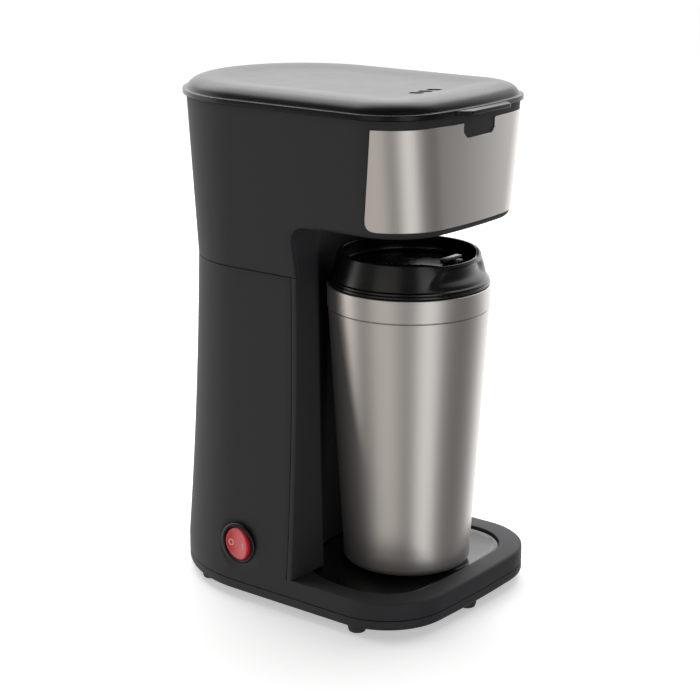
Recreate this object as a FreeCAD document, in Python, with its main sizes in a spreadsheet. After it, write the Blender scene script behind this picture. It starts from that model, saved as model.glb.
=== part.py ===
"""One-cup drip coffee maker with its travel mug, modelled piece by piece.

Axes: +Z up, the front faces -Y, the switch is on the -X side. The origin is on the
surface that the feet stand on, below the middle of the object. Sizes are millimetres.
"""
import FreeCAD
import Part

import math
import os
import re

import Sketcher

doc = FreeCAD.newDocument("CoffeeMaker")

# ---------------------------------------------------------------- driving dimensions
DIMENSIONS = [
    # plan outlines: half width, reach to the front and to the back, front corner, front bow
    ("base_half_width", 67.4), ("base_front", 90.2), ("base_drum_y", 22.8),
    ("base_corner", 36), ("base_bow", 670),
    ("flare_half_width", 56.5), ("flare_back", 86.6),
    ("waist_half_width", 50.2), ("waist_front", 82.6), ("waist_back", 84.8),
    ("top_half_width", 59.9), ("top_front", 85.1), ("top_back", 87.6),
    ("head_corner", 30), ("head_bow", 300),
    ("lid_overhang", 2), ("lid_bow", 250),
    # levels
    ("foot_height", 4.5), ("seam_level", 10), ("deck_level", 19.5), ("flare_level", 100),
    ("waist_level", 175.5), ("roof_level", 203), ("rim_level", 261.5),
    ("lid_flange", 3.7), ("lid_rise", 4.6),
    # walls and fits
    ("wall", 2.2), ("joint_gap", 0.2), ("running_gap", 0.3), ("bearing_gap", 0.05),
    # bay between the base and the head
    ("bay_front_low", 18.5), ("bay_front_high", 9), ("bay_panel_wall", 3),
    ("recess_clearance", 4.3), ("arch_radius", 9),
    # mug
    ("mug_axis", 43.2), ("mug_top_radius", 42.2), ("mug_low_radius", 33.6), ("mug_foot_radius", 29),
    ("mug_body_height", 151), ("mug_band_height", 11.6), ("mug_wall", 0.8), ("mug_groove", 0.5),
    ("mug_lid_step", 2), ("mug_lid_wall", 2.2), ("mug_lid_height", 17), ("mug_plug_step", 6.2),
    # tray
    ("tray_half_width", 55), ("tray_front", 78.4), ("tray_wall", 1.6), ("tray_sink", 1.2),
    ("deck_wall", 4.4),
    # steel panel
    ("panel_wall", 0.6), ("panel_rise", 3.5), ("panel_drop", 4.3), ("panel_wrap", 64),
    ("pocket_half_width", 13.5), ("pocket_depth", 7.5),
    # lid hinge
    ("hinge_reach", 2.9), ("hinge_drop", 2.7), ("hinge_pin_radius", 1.2), ("knuckle_radius", 2.5),
    ("knuckle_half_length", 8.4), ("ear_width", 4.5),
    # thumb tab
    ("tab_half_width", 17), ("tab_reach", 5), ("tab_wall", 1.8),
    # switch
    ("switch_y", 19), ("switch_level", 30.4), ("switch_radius", 10.2), ("bezel_width", 1.4),
    ("switch_recess_width", 3.2), ("switch_recess_depth", 1.6), ("barrel_wall", 1.1),
    ("barrel_depth", 16), ("rocker_height", 1.8), ("rocker_rest_tilt", 8),
    # water system
    ("tank_wall", 1.8), ("tank_rise", 14.5), ("tank_drop", 5.5), ("tank_front", 14),
    ("tube_radius", 5.2), ("tube_bore", 4), ("tube_bend", 12), ("tube_x", 24),
    ("hot_tube_y", 6), ("cold_tube_y", 20),
    ("heater_y", 50), ("heater_level", 31), ("heater_width", 15), ("heater_height", 18),
    ("valve_height", 14), ("valve_radius", 7),
    # brew basket and filter
    ("basket_radius", 30.5), ("basket_wall", 1.8), ("basket_drop", 11.5), ("basket_depth", 38),
    ("basket_flange", 3), ("basket_floor_radius", 15), ("filter_wall", 0.8), ("filter_floor_radius", 12),
    # fasteners and feet
    ("screw_radius", 1.5), ("screw_head_radius", 2.9), ("screw_head_height", 1.8),
    ("screw_length", 9), ("boss_radius", 4.4), ("foot_radius", 5), ("floor_wall", 2.5),
    # mains cord entry
    ("gland_level", 22), ("gland_bore", 3.3), ("gland_radius", 5.2), ("gland_flange_radius", 7.6),
]

# levels and radii that follow from the driving dimensions
DERIVED = {
    "base_back": "(base_half_width + base_drum_y)",
    "recess_radius": "(mug_top_radius + recess_clearance)",
    "mug_lid_radius": "(mug_top_radius - mug_lid_step)",
    "mug_plug_radius": "(mug_top_radius - mug_plug_step)",
    "panel_bottom": "(roof_level + panel_rise)",
    "panel_top": "(rim_level - panel_drop)",
    "hinge_y": "(top_back + hinge_reach)",
    "hinge_level": "(rim_level - hinge_drop)",
    # the tower's half width at the switch, by the loft's own curve through its three plans
    "switch_wall": "(0.804 * base_half_width + 0.26 * flare_half_width - 0.064 * waist_half_width)",
    "switch_face": "(switch_wall + 0.83 - switch_recess_depth)",
    "switch_bezel_radius": "(switch_radius + bezel_width)",
    "switch_recess_radius": "(switch_radius + switch_recess_width)",
    "rocker_radius": "(switch_radius - barrel_wall)",
    "tank_floor": "(waist_level + tank_rise)",
    "tank_top": "(rim_level - tank_drop)",
    "basket_level": "(rim_level - basket_drop)",
    "pan_floor": "(foot_height + floor_wall)",
}

dims = doc.addObject("Spreadsheet::Sheet", "Dims")
for row, (alias, size) in enumerate(DIMENSIONS, start=1):
    dims.set("A%d" % row, alias)
    dims.set("B%d" % row, str(size))
    dims.setAlias("B%d" % row, alias)
doc.recompute()


ALIASES = {alias for alias, _ in DIMENSIONS}


def words(expression):
    """Turn the bare dimension names of an expression into references to the sheet."""
    def refer(match):
        name = match.group()
        if name in DERIVED:
            return words(DERIVED[name])
        return "Dims." + name if name in ALIASES else name
    return re.sub(r"[a-z_]+", refer, str(expression))


def number(expression):
    """The present value of an expression, in millimetres."""
    return float(dims.evalExpression(words(expression)))


# ---------------------------------------------------------------- sketch helpers
def new_body(label):
    body = doc.addObject("PartDesign::Body", label)
    body.Label = label
    return body


def place(part, x="0", y="0", z="0"):
    for axis, expression in zip("xyz", (x, y, z)):
        part.setExpression("Placement.Base." + axis, words(expression))


def new_sketch(body, role, offset="0"):
    """An empty sketch on one of the body's own origin planes, raised by offset."""
    sketch = body.newObject("Sketcher::SketchObject", body.Name + "_outline")
    plane = [item for item in body.Origin.OriginFeatures if item.Role == role][0]
    sketch.AttachmentSupport = [(plane, "")]
    sketch.MapMode = "FlatFace"
    sketch.setExpression("AttachmentOffset.Base.z", words(offset))
    return sketch


def bind(sketch, kind, *arguments):
    """Add a constraint whose last argument is an expression."""
    *geometry, expression = arguments
    index = sketch.addConstraint(Sketcher.Constraint(kind, *geometry, number(expression)))
    sketch.setExpression("Constraints[%d]" % index, words(expression))


def fix_point(sketch, index, end, x, y):
    bind(sketch, "DistanceX", -1, 1, index, end, x)
    bind(sketch, "DistanceY", -1, 1, index, end, y)


def vector(x, y):
    return FreeCAD.Vector(x, y, 0)


def plan_sketch(body, level, half_width, front, back, corner, bow):
    """A plan with straight sides, a round back and a bowed front with round corners."""
    sketch = new_sketch(body, "XY_Plane", level)
    width, reach, depth = number(half_width), number(front), number(back)
    radius, bend = number(corner), number(bow)
    up = FreeCAD.Vector(0, 0, 1)
    corner_x = width - radius
    bow_y = bend - reach
    corner_y = bow_y - math.sqrt((bend - radius) ** 2 - corner_x ** 2)
    back_y = depth - width
    lean = math.asin(corner_x / (bend - radius))
    down = 1.5 * math.pi

    def arc(x, y, size, start, end):
        return Part.ArcOfCircle(Part.Circle(vector(x, y), up, size), start, end)

    sketch.addGeometry([
        Part.LineSegment(vector(width, corner_y), vector(width, back_y)),
        arc(0, back_y, width, 0, math.pi),
        Part.LineSegment(vector(-width, back_y), vector(-width, corner_y)),
        arc(-corner_x, corner_y, radius, math.pi, down - lean),
        arc(0, bow_y, bend, down - lean, down + lean),
        arc(corner_x, corner_y, radius, down + lean, 2 * math.pi),
    ])
    joints = ((0, 2, 1, 1), (1, 2, 2, 1), (2, 2, 3, 1), (3, 2, 4, 1), (4, 2, 5, 1), (5, 2, 0, 1))
    for joint in joints:
        sketch.addConstraint(Sketcher.Constraint("Tangent", *joint))
    for side in (0, 2):
        sketch.addConstraint(Sketcher.Constraint("Vertical", side))
    for centred in (1, 4):
        sketch.addConstraint(Sketcher.Constraint("PointOnObject", centred, 3, -2))
    bind(sketch, "Radius", 1, half_width)
    bind(sketch, "DistanceY", -1, 1, 1, 3, "(%s) - (%s)" % (back, half_width))
    bind(sketch, "Radius", 4, bow)
    bind(sketch, "DistanceY", -1, 1, 4, 3, "(%s) - (%s)" % (bow, front))
    bind(sketch, "Radius", 3, corner)
    sketch.addConstraint(Sketcher.Constraint("Equal", 3, 5))
    return sketch


def outline(sketch, corners):
    """A closed outline of straight edges through the given corners."""
    places = [vector(number(x), number(y)) for x, y in corners]
    count = len(places)
    for index in range(count):
        sketch.addGeometry(Part.LineSegment(places[index], places[(index + 1) % count]))
    for index in range(count):
        follower = (index + 1) % count
        sketch.addConstraint(Sketcher.Constraint("Coincident", index, 2, follower, 1))
    for index, (x, y) in enumerate(corners):
        fix_point(sketch, index, 1, x, y)
    return sketch


def circles(sketch, rings):
    for x, y, radius in rings:
        circle = Part.Circle(vector(number(x), number(y)), FreeCAD.Vector(0, 0, 1), number(radius))
        index = sketch.addGeometry(circle)
        fix_point(sketch, index, 3, x, y)
        bind(sketch, "Radius", index, radius)
    return sketch


# ---------------------------------------------------------------- feature helpers
def finish(feature, removes=False):
    """Recompute, and stop if a cut missed the solid or an addition made nothing."""
    doc.recompute()
    base = feature.BaseFeature
    before = base.Shape.Volume if base else 0
    change = feature.Shape.Volume - before
    if (change >= 0) if removes else (change <= 0):
        raise RuntimeError("%s changes nothing" % feature.Name)
    return feature


def extrude(body, sketch, length, removes=False, reverse=False):
    kind = "PartDesign::Pocket" if removes else "PartDesign::Pad"
    feature = body.newObject(kind, body.Name + ("_pocket" if removes else "_pad"))
    feature.Profile = sketch
    feature.setExpression("Length", words(length))
    feature.Reversed = reverse
    return finish(feature, removes)


def pad(body, sketch, length, reverse=False):
    return extrude(body, sketch, length, False, reverse)


def pocket(body, sketch, length, reverse=False):
    return extrude(body, sketch, length, True, reverse)


def loft(body, sketches, removes=False):
    kind = "PartDesign::SubtractiveLoft" if removes else "PartDesign::AdditiveLoft"
    feature = body.newObject(kind, body.Name + "_loft")
    feature.Profile = sketches[0]
    feature.Sections = sketches[1:]
    return finish(feature, removes)


def turn(body, sketch, angle=360, removes=False):
    kind = "PartDesign::Groove" if removes else "PartDesign::Revolution"
    feature = body.newObject(kind, body.Name + "_turned")
    feature.Profile = sketch
    feature.ReferenceAxis = (sketch, ["V_Axis"])
    feature.Angle = angle
    return finish(feature, removes)


def side_cut(body, corners):
    """Cut an outline of (y, z) corners right through the body from side to side."""
    reach = "3 * base_half_width"
    sketch = outline(new_sketch(body, "YZ_Plane", "-1.5 * base_half_width"), corners)
    return pocket(body, sketch, reach, reverse=True)


def turned_body(label, corners, x="0", y="0"):
    """A piece turned about its own upright axis from (radius, level) corners."""
    body = new_body(label)
    turn(body, outline(new_sketch(body, "XZ_Plane"), corners))
    place(body, x, y)
    return body


# ---------------------------------------------------------------- outlines of the housing
def base_plan(body, level, inset="0"):
    i = "(" + inset + ")"
    return plan_sketch(body, level, "base_half_width - " + i, "base_front - " + i,
                       "base_back - " + i, "base_corner - " + i, "base_bow")


def flare_plan(body, level, inset="0"):
    i = "(" + inset + ")"
    return plan_sketch(body, level, "flare_half_width - " + i, "base_front - " + i,
                       "flare_back - " + i, "head_corner - " + i, "base_bow")


def waist_plan(body, level, inset="0"):
    i = "(" + inset + ")"
    return plan_sketch(body, level, "waist_half_width - " + i, "waist_front - " + i,
                       "waist_back - " + i, "head_corner - " + i, "head_bow")


def top_plan(body, level, inset="0"):
    i = "(" + inset + ")"
    return plan_sketch(body, level, "top_half_width - " + i, "top_front - " + i,
                       "top_back - " + i, "head_corner - " + i, "head_bow")


def lid_plan(body, level, inset="0"):
    i = "(lid_overhang - (" + inset + "))"
    return plan_sketch(body, level, "top_half_width + " + i, "top_front + " + i,
                       "top_back + " + i, "head_corner + " + i, "lid_bow")


def head_plan(body, level, inset="0", flat_front=None):
    """The housing's plan at any level of the head; flat_front cuts it off to an almost flat front."""
    rise = "((%s) - waist_level) / (rim_level - waist_level)" % level
    sizes = {}
    for size in ("half_width", "front", "back"):
        sizes[size] = "waist_{0} + (top_{0} - waist_{0}) * {1} - ({2})".format(size, rise, inset)
    corner = "head_corner - (%s)" % inset
    bow = "head_bow"
    if flat_front is not None:
        sizes["front"] = flat_front
        corner = "4"
        bow = "4 * head_bow"
    return plan_sketch(body, level, sizes["half_width"], sizes["front"], sizes["back"], corner, bow)


BAY_SLOPE = "(bay_front_low - bay_front_high) / (waist_level - deck_level)"


def bay_cut(body, back_off):
    """Take away everything ahead of the tower's sloping front, up to the head's roof."""
    far = "-2 * base_front"
    low = "-bay_front_low + (%s)" % back_off
    top = "-bay_front_low + (%s) * (roof_level - arch_radius - deck_level) + (%s)" % (BAY_SLOPE, back_off)
    arch = "(%s) - arch_radius * %s"
    corners = [(far, "deck_level"), (low, "deck_level"), (top, "roof_level - arch_radius")]
    for run, climb in ((0.076, 0.383), (0.293, 0.707), (0.617, 0.924), (1, 1)):
        corners.append((arch % (top, run), "roof_level - arch_radius * %s" % (1 - climb)))
    corners.append((far, "roof_level"))
    return side_cut(body, corners)


# ---------------------------------------------------------------- base and lower housing
BOSSES = (
    ("base_half_width - 24.4", "30.2 - base_front"), ("24.4 - base_half_width", "30.2 - base_front"),
    ("base_half_width - 8.2", "base_back - 50.2"), ("8.2 - base_half_width", "base_back - 50.2"),
)
FEET = {
    "foot_front": ("0", "7.4 - base_front"),
    "foot_front_left": ("7.6 - base_half_width", "34.2 - base_front"),
    "foot_front_right": ("base_half_width - 7.6", "34.2 - base_front"),
    "foot_rear_left": ("14.4 - base_half_width", "base_back - 40.2"),
    "foot_rear_right": ("base_half_width - 14.4", "base_back - 40.2"),
}


def at_bosses(radius):
    """A ring of the given radius at each screw boss."""
    return [(x, y, radius) for x, y in BOSSES]


def base_plate():
    body = new_body("base_plate")
    loft(body, [base_plan(body, "foot_height", "1"), base_plan(body, "foot_height + 1.5")])
    pad(body, base_plan(body, "foot_height + 1.5"), "seam_level - joint_gap - foot_height - 1.5")
    cavity = base_plan(body, "pan_floor", "wall")
    pocket(body, cavity, "seam_level", reverse=True)
    stands = circles(new_sketch(body, "XY_Plane", "foot_height + 2"), at_bosses("boss_radius"))
    pad(body, stands, "seam_level - joint_gap - foot_height - 2")
    holes = circles(new_sketch(body, "XY_Plane"), at_bosses("screw_radius + 0.2"))
    pocket(body, holes, "seam_level", reverse=True)
    heads = circles(new_sketch(body, "XY_Plane"), at_bosses("screw_head_radius + 0.3"))
    pocket(body, heads, "foot_height + screw_head_height + 0.3", reverse=True)
    seats = circles(new_sketch(body, "XY_Plane"), [(x, y, "foot_radius") for x, y in FEET.values()])
    pocket(body, seats, "foot_height + 1", reverse=True)


def feet():
    for label, (x, y) in FEET.items():
        turned_body(label, [
            ("0", "0"), ("foot_radius - 1", "0"), ("foot_radius", "1"),
            ("foot_radius", "foot_height + 1"), ("0", "foot_height + 1"),
        ], x, y)


def screw_group(label, places, head_level):
    """Pan-head screws that point up, as one Part compound bound to the sheet."""
    pieces = []
    for index, (x, y) in enumerate(places):
        head = doc.addObject("Part::Cylinder", "%s_head_%d" % (label, index))
        head.setExpression("Radius", words("screw_head_radius"))
        head.setExpression("Height", words("screw_head_height"))
        place(head, x, y, head_level)
        shank = doc.addObject("Part::Cylinder", "%s_shank_%d" % (label, index))
        shank.setExpression("Radius", words("screw_radius"))
        shank.setExpression("Height", words("screw_head_height + screw_length"))
        place(shank, x, y, head_level)
        screw = doc.addObject("Part::Fuse", "%s_%d" % (label, index))
        screw.Base = head
        screw.Tool = shank
        pieces.append(screw)
    group = doc.addObject("Part::Compound", label)
    group.Label = label
    group.Links = pieces


def lower_housing():
    body = new_body("lower_housing")
    pad(body, base_plan(body, "seam_level"), "deck_level - seam_level")
    loft(body, [base_plan(body, "deck_level"), flare_plan(body, "flare_level"),
                waist_plan(body, "waist_level")])
    inner = [base_plan(body, "deck_level", "wall"), flare_plan(body, "flare_level", "wall"),
             waist_plan(body, "waist_level", "wall")]
    loft(body, inner, removes=True)
    bay_cut(body, "bay_panel_wall + joint_gap")
    # hollow under the deck, and the way up from it into the tower
    pocket(body, base_plan(body, "seam_level", "wall"), "deck_level - deck_wall - seam_level", reverse=True)
    opening = plan_sketch(body, "seam_level", "base_half_width - wall", "6.5 - bay_front_low",
                          "base_back - wall", "4", "base_bow")
    pocket(body, opening, "deck_level - seam_level", reverse=True)
    tray = plan_sketch(body, "deck_level", "tray_half_width + joint_gap", "tray_front + joint_gap",
                       "tray_half_width + joint_gap - mug_axis", "base_corner - 10", "base_bow")
    pocket(body, tray, "tray_wall + tray_sink")
    # bosses for the base screws
    bosses = circles(new_sketch(body, "XY_Plane", "seam_level"), at_bosses("boss_radius"))
    pad(body, bosses, "deck_level - deck_wall - seam_level + 1")
    holes = circles(new_sketch(body, "XY_Plane"), at_bosses("screw_radius"))
    pocket(body, holes, "foot_height + screw_length + 3", reverse=True)
    # seat and hole of the switch
    spot = [("switch_y", "switch_level")]
    seat = circles(new_sketch(body, "YZ_Plane", "5.27 - switch_wall"),
                   [(y, z, "switch_recess_radius + 1.5") for y, z in spot])
    pad(body, seat, "4.5", reverse=True)
    scoop = circles(new_sketch(body, "YZ_Plane", "-1.2 * base_half_width"),
                    [(y, z, "switch_recess_radius") for y, z in spot])
    pocket(body, scoop, "1.2 * base_half_width - switch_face", reverse=True)
    hole = circles(new_sketch(body, "YZ_Plane", "-1.2 * base_half_width"),
                   [(y, z, "switch_radius") for y, z in spot])
    pocket(body, hole, "1.2 * base_half_width - switch_wall + 7.27", reverse=True)
    cord = circles(new_sketch(body, "XZ_Plane", "-1.2 * base_back"),
                   [("0", "gland_level", "gland_radius")])
    pocket(body, cord, "0.4 * base_back", reverse=True)


def mug_tray():
    body = new_body("mug_tray")
    plan = plan_sketch(body, "deck_level - tray_sink - tray_wall", "tray_half_width", "tray_front",
                       "tray_half_width - mug_axis", "base_corner - 10", "base_bow")
    pad(body, plan, "tray_wall")


def bay_panel():
    body = new_body("bay_panel")
    loft(body, [base_plan(body, "deck_level"), flare_plan(body, "flare_level"),
                waist_plan(body, "waist_level")])
    inset = "wall + joint_gap"
    loft(body, [waist_plan(body, "waist_level", inset), head_plan(body, "roof_level", inset)])
    # keep a slab behind the sloping front, and a round wall behind the mug
    low = "-bay_front_low + bay_panel_wall"
    high = low + " + (%s) * (roof_level - deck_level)" % BAY_SLOPE
    far = "2 * base_back"
    side_cut(body, [(low, "deck_level"), (far, "deck_level"), (far, "roof_level"), (high, "roof_level")])
    drum = circles(new_sketch(body, "XY_Plane", "deck_level"),
                   [("0", "-mug_axis", "recess_radius + bay_panel_wall")])
    pad(body, drum, "roof_level - deck_level")
    front_low = "-bay_front_low"
    front_high = front_low + " + (%s) * (roof_level - deck_level)" % BAY_SLOPE
    near = "-2 * base_front"
    side_cut(body, [(near, "deck_level - 1"), (front_low, "deck_level - 1"), (front_low, "deck_level"),
                    (front_high, "roof_level"), (front_high, "roof_level + 1"), (near, "roof_level + 1")])
    recess = circles(new_sketch(body, "XY_Plane", "deck_level"), [("0", "-mug_axis", "recess_radius")])
    pocket(body, recess, "roof_level - deck_level + 1", reverse=True)


# ---------------------------------------------------------------- head
def upper_housing():
    body = new_body("upper_housing")
    level = "waist_level + joint_gap"
    loft(body, [waist_plan(body, level), top_plan(body, "rim_level")])
    bay_cut(body, "0")
    # ears that carry the hinge pin
    for start in ("knuckle_half_length + running_gap", "-knuckle_half_length - running_gap - ear_width"):
        ear = outline(new_sketch(body, "YZ_Plane", start), [
            ("top_back - 3", "hinge_level - knuckle_radius - 6"),
            ("hinge_y", "hinge_level - knuckle_radius"),
            ("hinge_y + 0.9 * knuckle_radius", "hinge_level"),
            ("hinge_y", "rim_level - 0.2"), ("top_back - 3", "rim_level - 0.2"),
        ])
        pad(body, ear, "ear_width")
    inner = [waist_plan(body, level, "wall"), top_plan(body, "rim_level", "wall")]
    loft(body, inner, removes=True)
    pin = circles(new_sketch(body, "YZ_Plane", "-20"), [("hinge_y", "hinge_level", "hinge_pin_radius")])
    pocket(body, pin, "40", reverse=True)


def hinge_pin():
    body = new_body("lid_hinge_pin")
    start = "-knuckle_half_length - running_gap - ear_width"
    pin = circles(new_sketch(body, "YZ_Plane", start), [("hinge_y", "hinge_level", "hinge_pin_radius")])
    pad(body, pin, "2 * (knuckle_half_length + running_gap + ear_width)")


def head_underside():
    body = new_body("head_underside")
    level = "roof_level + 0.8"
    pad(body, head_plan(body, level, "wall + joint_gap"), "wall")
    rear = "-bay_front_high + bay_panel_wall + 4"
    side_cut(body, [(rear, "roof_level"), ("2 * base_back", "roof_level"),
                    ("2 * base_back", "roof_level + 10"), (rear, "roof_level + 10")])
    drain = circles(new_sketch(body, "XY_Plane", "roof_level"), [("0", "-mug_axis", "11")])
    pocket(body, drain, "10", reverse=True)


def front_panel():
    """A thin steel skin laid on the head's front, wrapped round both front corners."""
    body = new_body("front_panel")
    skin = "-panel_wall"
    loft(body, [head_plan(body, "panel_bottom", skin), head_plan(body, "panel_top", skin)])
    back = "-panel_wrap + 2"
    side_cut(body, [(back, "panel_bottom - 1"), ("2 * base_back", "panel_bottom - 1"),
                    ("2 * base_back", "panel_top + 1"), (back, "panel_top + 1")])
    under = [head_plan(body, "panel_bottom", "0"), head_plan(body, "panel_top", "0")]
    loft(body, under, removes=True)
    notch = outline(new_sketch(body, "XZ_Plane", "0.5 * top_front"), [
        ("-pocket_half_width", "panel_top + 1"), ("-pocket_half_width", "panel_top - 0.5 * pocket_depth"),
        ("3 - pocket_half_width", "panel_top - pocket_depth"),
        ("pocket_half_width - 3", "panel_top - pocket_depth"),
        ("pocket_half_width", "panel_top - 0.5 * pocket_depth"), ("pocket_half_width", "panel_top + 1"),
    ])
    pocket(body, notch, "top_front", reverse=True)


# ---------------------------------------------------------------- lid
def lid_cover():
    body = new_body("lid_cover")
    level = "rim_level + running_gap"
    pad(body, lid_plan(body, level), "lid_flange")
    crown = level + " + lid_flange"
    loft(body, [lid_plan(body, crown, "1.5"), lid_plan(body, crown + " + lid_rise", "8")])
    pocket(body, lid_plan(body, crown + " + lid_rise", "16"), "1.6")
    pocket(body, lid_plan(body, level, "lid_overhang + wall"), "lid_flange + 0.2 * lid_rise", reverse=True)
    # knuckle and its web behind the rim
    start = "-knuckle_half_length"
    pad(body, circles(new_sketch(body, "YZ_Plane", start), [("hinge_y", "hinge_level", "knuckle_radius")]),
        "2 * knuckle_half_length")
    web = outline(new_sketch(body, "YZ_Plane", start), [
        ("hinge_y - knuckle_radius", "hinge_level"), ("hinge_y + 0.5", "hinge_level"),
        ("hinge_y + 0.5", "rim_level + running_gap + 2"),
        ("hinge_y - knuckle_radius - 2", "rim_level + running_gap + 2"),
        ("hinge_y - knuckle_radius - 2", "rim_level + running_gap"),
        ("hinge_y - knuckle_radius", "rim_level + running_gap"),
    ])
    pad(body, web, "2 * knuckle_half_length")
    bore = circles(new_sketch(body, "YZ_Plane", "-20"),
                   [("hinge_y", "hinge_level", "hinge_pin_radius + bearing_gap")])
    pocket(body, bore, "40", reverse=True)
    # thumb tab at the front
    reach = "-top_front - lid_overhang"
    tab = outline(new_sketch(body, "XY_Plane", level), [
        ("-tab_half_width - 6", reach + " + 1"), ("-tab_half_width", reach + " - tab_reach"),
        ("tab_half_width", reach + " - tab_reach"), ("tab_half_width + 6", reach + " + 1"),
    ])
    pad(body, tab, "tab_wall")
    # steam vents
    for step in (-1, 0, 1):
        centre = "%.1f - 4" % (7.4 * step)
        vent = outline(new_sketch(body, "XY_Plane", level), [
            (centre + " - 4", "-mug_axis - 10.4"), (centre + " + 0.4", "-mug_axis - 14.8"),
            (centre + " + 4", "-mug_axis - 13.2"), (centre + " - 0.4", "-mug_axis - 8.8"),
        ])
        pocket(body, vent, "lid_flange + lid_rise + 1", reverse=True)


def lid_inner_plate():
    body = new_body("lid_inner_plate")
    level = "rim_level + running_gap + 0.6"
    pad(body, lid_plan(body, level, "lid_overhang + wall + joint_gap"), "1.6")
    # showers the water over the coffee
    rose = circles(new_sketch(body, "XY_Plane", level),
                   [("0", "-mug_axis", "1.2")])
    pocket(body, rose, "1.6", reverse=True)
    for ring, count in ((8, 6), (16, 12)):
        sketch = circles(new_sketch(body, "XY_Plane", level), [
            ("%.3f" % (ring * math.cos(2 * math.pi * step / count)),
             "%.3f - mug_axis" % (ring * math.sin(2 * math.pi * step / count)), "1.2")
            for step in range(count)])
        pocket(body, sketch, "1.6", reverse=True)


# ---------------------------------------------------------------- water system
def water_tank():
    body = new_body("water_tank")
    inset = "wall + 1"
    loft(body, [head_plan(body, "tank_floor", inset, "-tank_front"),
                head_plan(body, "tank_top", inset, "-tank_front")])
    hollow = inset + " + tank_wall"
    loft(body, [head_plan(body, "tank_floor + tank_wall", hollow, "-tank_front - tank_wall"),
                head_plan(body, "tank_top", hollow, "-tank_front - tank_wall")], removes=True)
    outlet = circles(new_sketch(body, "XY_Plane", "tank_floor"), [("-tube_x", "cold_tube_y", "tube_bore")])
    pad(body, outlet, "10", reverse=True)
    bore = circles(new_sketch(body, "XY_Plane", "tank_floor + 5"),
                   [("-tube_x", "cold_tube_y", "tube_bore - 1.4")])
    pocket(body, bore, "20")


def turned_tube(label, x, run_y, top, foot_y="heater_y - 12"):
    """A silicone tube: level from the heater, one bend, then straight up."""
    body = new_body(label)
    start, level = number(foot_y), number("heater_level")
    bend, column, height = number("tube_bend"), number(run_y), number(top)
    spine = new_sketch(body, "YZ_Plane", x)
    up = FreeCAD.Vector(0, 0, 1)
    spine.addGeometry([
        Part.LineSegment(vector(start, level), vector(column + bend, level)),
        Part.ArcOfCircle(Part.Circle(vector(column + bend, level + bend), up, bend), math.pi, 1.5 * math.pi),
        Part.LineSegment(vector(column, level + bend), vector(column, height)),
    ])
    spine.addConstraint(Sketcher.Constraint("Tangent", 0, 2, 1, 2))
    spine.addConstraint(Sketcher.Constraint("Tangent", 1, 1, 2, 1))
    spine.addConstraint(Sketcher.Constraint("Horizontal", 0))
    spine.addConstraint(Sketcher.Constraint("Vertical", 2))
    bind(spine, "Radius", 1, "tube_bend")
    fix_point(spine, 0, 1, foot_y, "heater_level")
    fix_point(spine, 2, 2, run_y, top)
    section = circles(new_sketch(body, "XZ_Plane", "-(%s)" % foot_y),
                      [(x, "heater_level", "tube_radius"), (x, "heater_level", "tube_bore")])
    pipe = body.newObject("PartDesign::AdditivePipe", label + "_pipe")
    pipe.Profile = section
    pipe.Spine = (spine, ["Edge1", "Edge2", "Edge3"])
    finish(pipe)


def check_valve():
    inner = "tube_bore - 1.2"
    turned_body("check_valve", [
        (inner, "tank_floor - 12 - valve_height"), ("tube_bore", "tank_floor - 12 - valve_height"),
        ("tube_bore", "tank_floor - 8 - valve_height"), ("valve_radius", "tank_floor - 8 - valve_height"),
        ("valve_radius", "tank_floor - 14"), ("tube_bore + 0.8", "tank_floor - 14"),
        ("tube_bore + 0.8", "tank_floor - 1"), ("tube_bore", "tank_floor - 1"),
        ("tube_bore", "tank_floor - 11"), (inner, "tank_floor - 11"),
    ], "-tube_x", "cold_tube_y")


def hose_clamps():
    """Spring clamps on the two tubes where they meet the heater's ends."""
    body = new_body("hose_clamps")
    low = "heater_y - 12.2"
    rings = []
    for x in ("tube_x", "-tube_x"):
        rings += [(x, "heater_level", "tube_radius + 1"), (x, "heater_level", "tube_radius")]
    section = circles(new_sketch(body, "XZ_Plane", "-(%s)" % low), rings)
    pad(body, section, "4")


def heater_block():
    body = new_body("heater_block")
    near, far = "tube_x - heater_width / 2", "tube_x + heater_width / 2"
    low, high = "heater_level - heater_height / 2", "heater_level + heater_height / 2"
    section = outline(new_sketch(body, "XZ_Plane"), [(near, low), (far, low), (far, high), (near, high)])
    turn(body, section, 180)
    channel = circles(new_sketch(body, "XZ_Plane"), [("tube_x", "heater_level", "tube_bore")])
    turn(body, channel, 180, removes=True)
    place(body, "0", "heater_y")


def heater_tube():
    body = new_body("heater_tube")
    rings = [("tube_x", "heater_level", "tube_bore"), ("tube_x", "heater_level", "tube_bore - 1")]
    turn(body, circles(new_sketch(body, "XZ_Plane"), rings), 180)
    for side in ("tube_x", "-tube_x"):
        ends = circles(new_sketch(body, "XZ_Plane"), [
            (side, "heater_level", "tube_bore"), (side, "heater_level", "tube_bore - 1")])
        pad(body, ends, "16")
    place(body, "0", "heater_y")


def heater_bracket():
    body = new_body("heater_bracket")
    top = "heater_level - heater_height / 2 - joint_gap"
    floor = "pan_floor"
    reach = "tube_x + heater_width / 2 + 1"
    section = outline(new_sketch(body, "XZ_Plane", "-(heater_y + 20)"), [
        ("-(%s)" % reach, top), ("-(%s)" % reach, floor), ("-(%s) + 1.5" % reach, floor),
        ("-(%s) + 1.5" % reach, top + " - 1.5"), (reach + " - 1.5", top + " - 1.5"),
        (reach + " - 1.5", floor), (reach, floor), (reach, top),
    ])
    pad(body, section, "16")


def thermostat():
    level = "heater_level + heater_height / 2 + joint_gap"
    turned_body("thermostat", [
        ("0", level), ("8", level), ("8", level + " + 2"), ("6.5", level + " + 2"),
        ("6.5", level + " + 7"), ("0", level + " + 7"),
    ], "0", "heater_y + tube_x")


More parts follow.
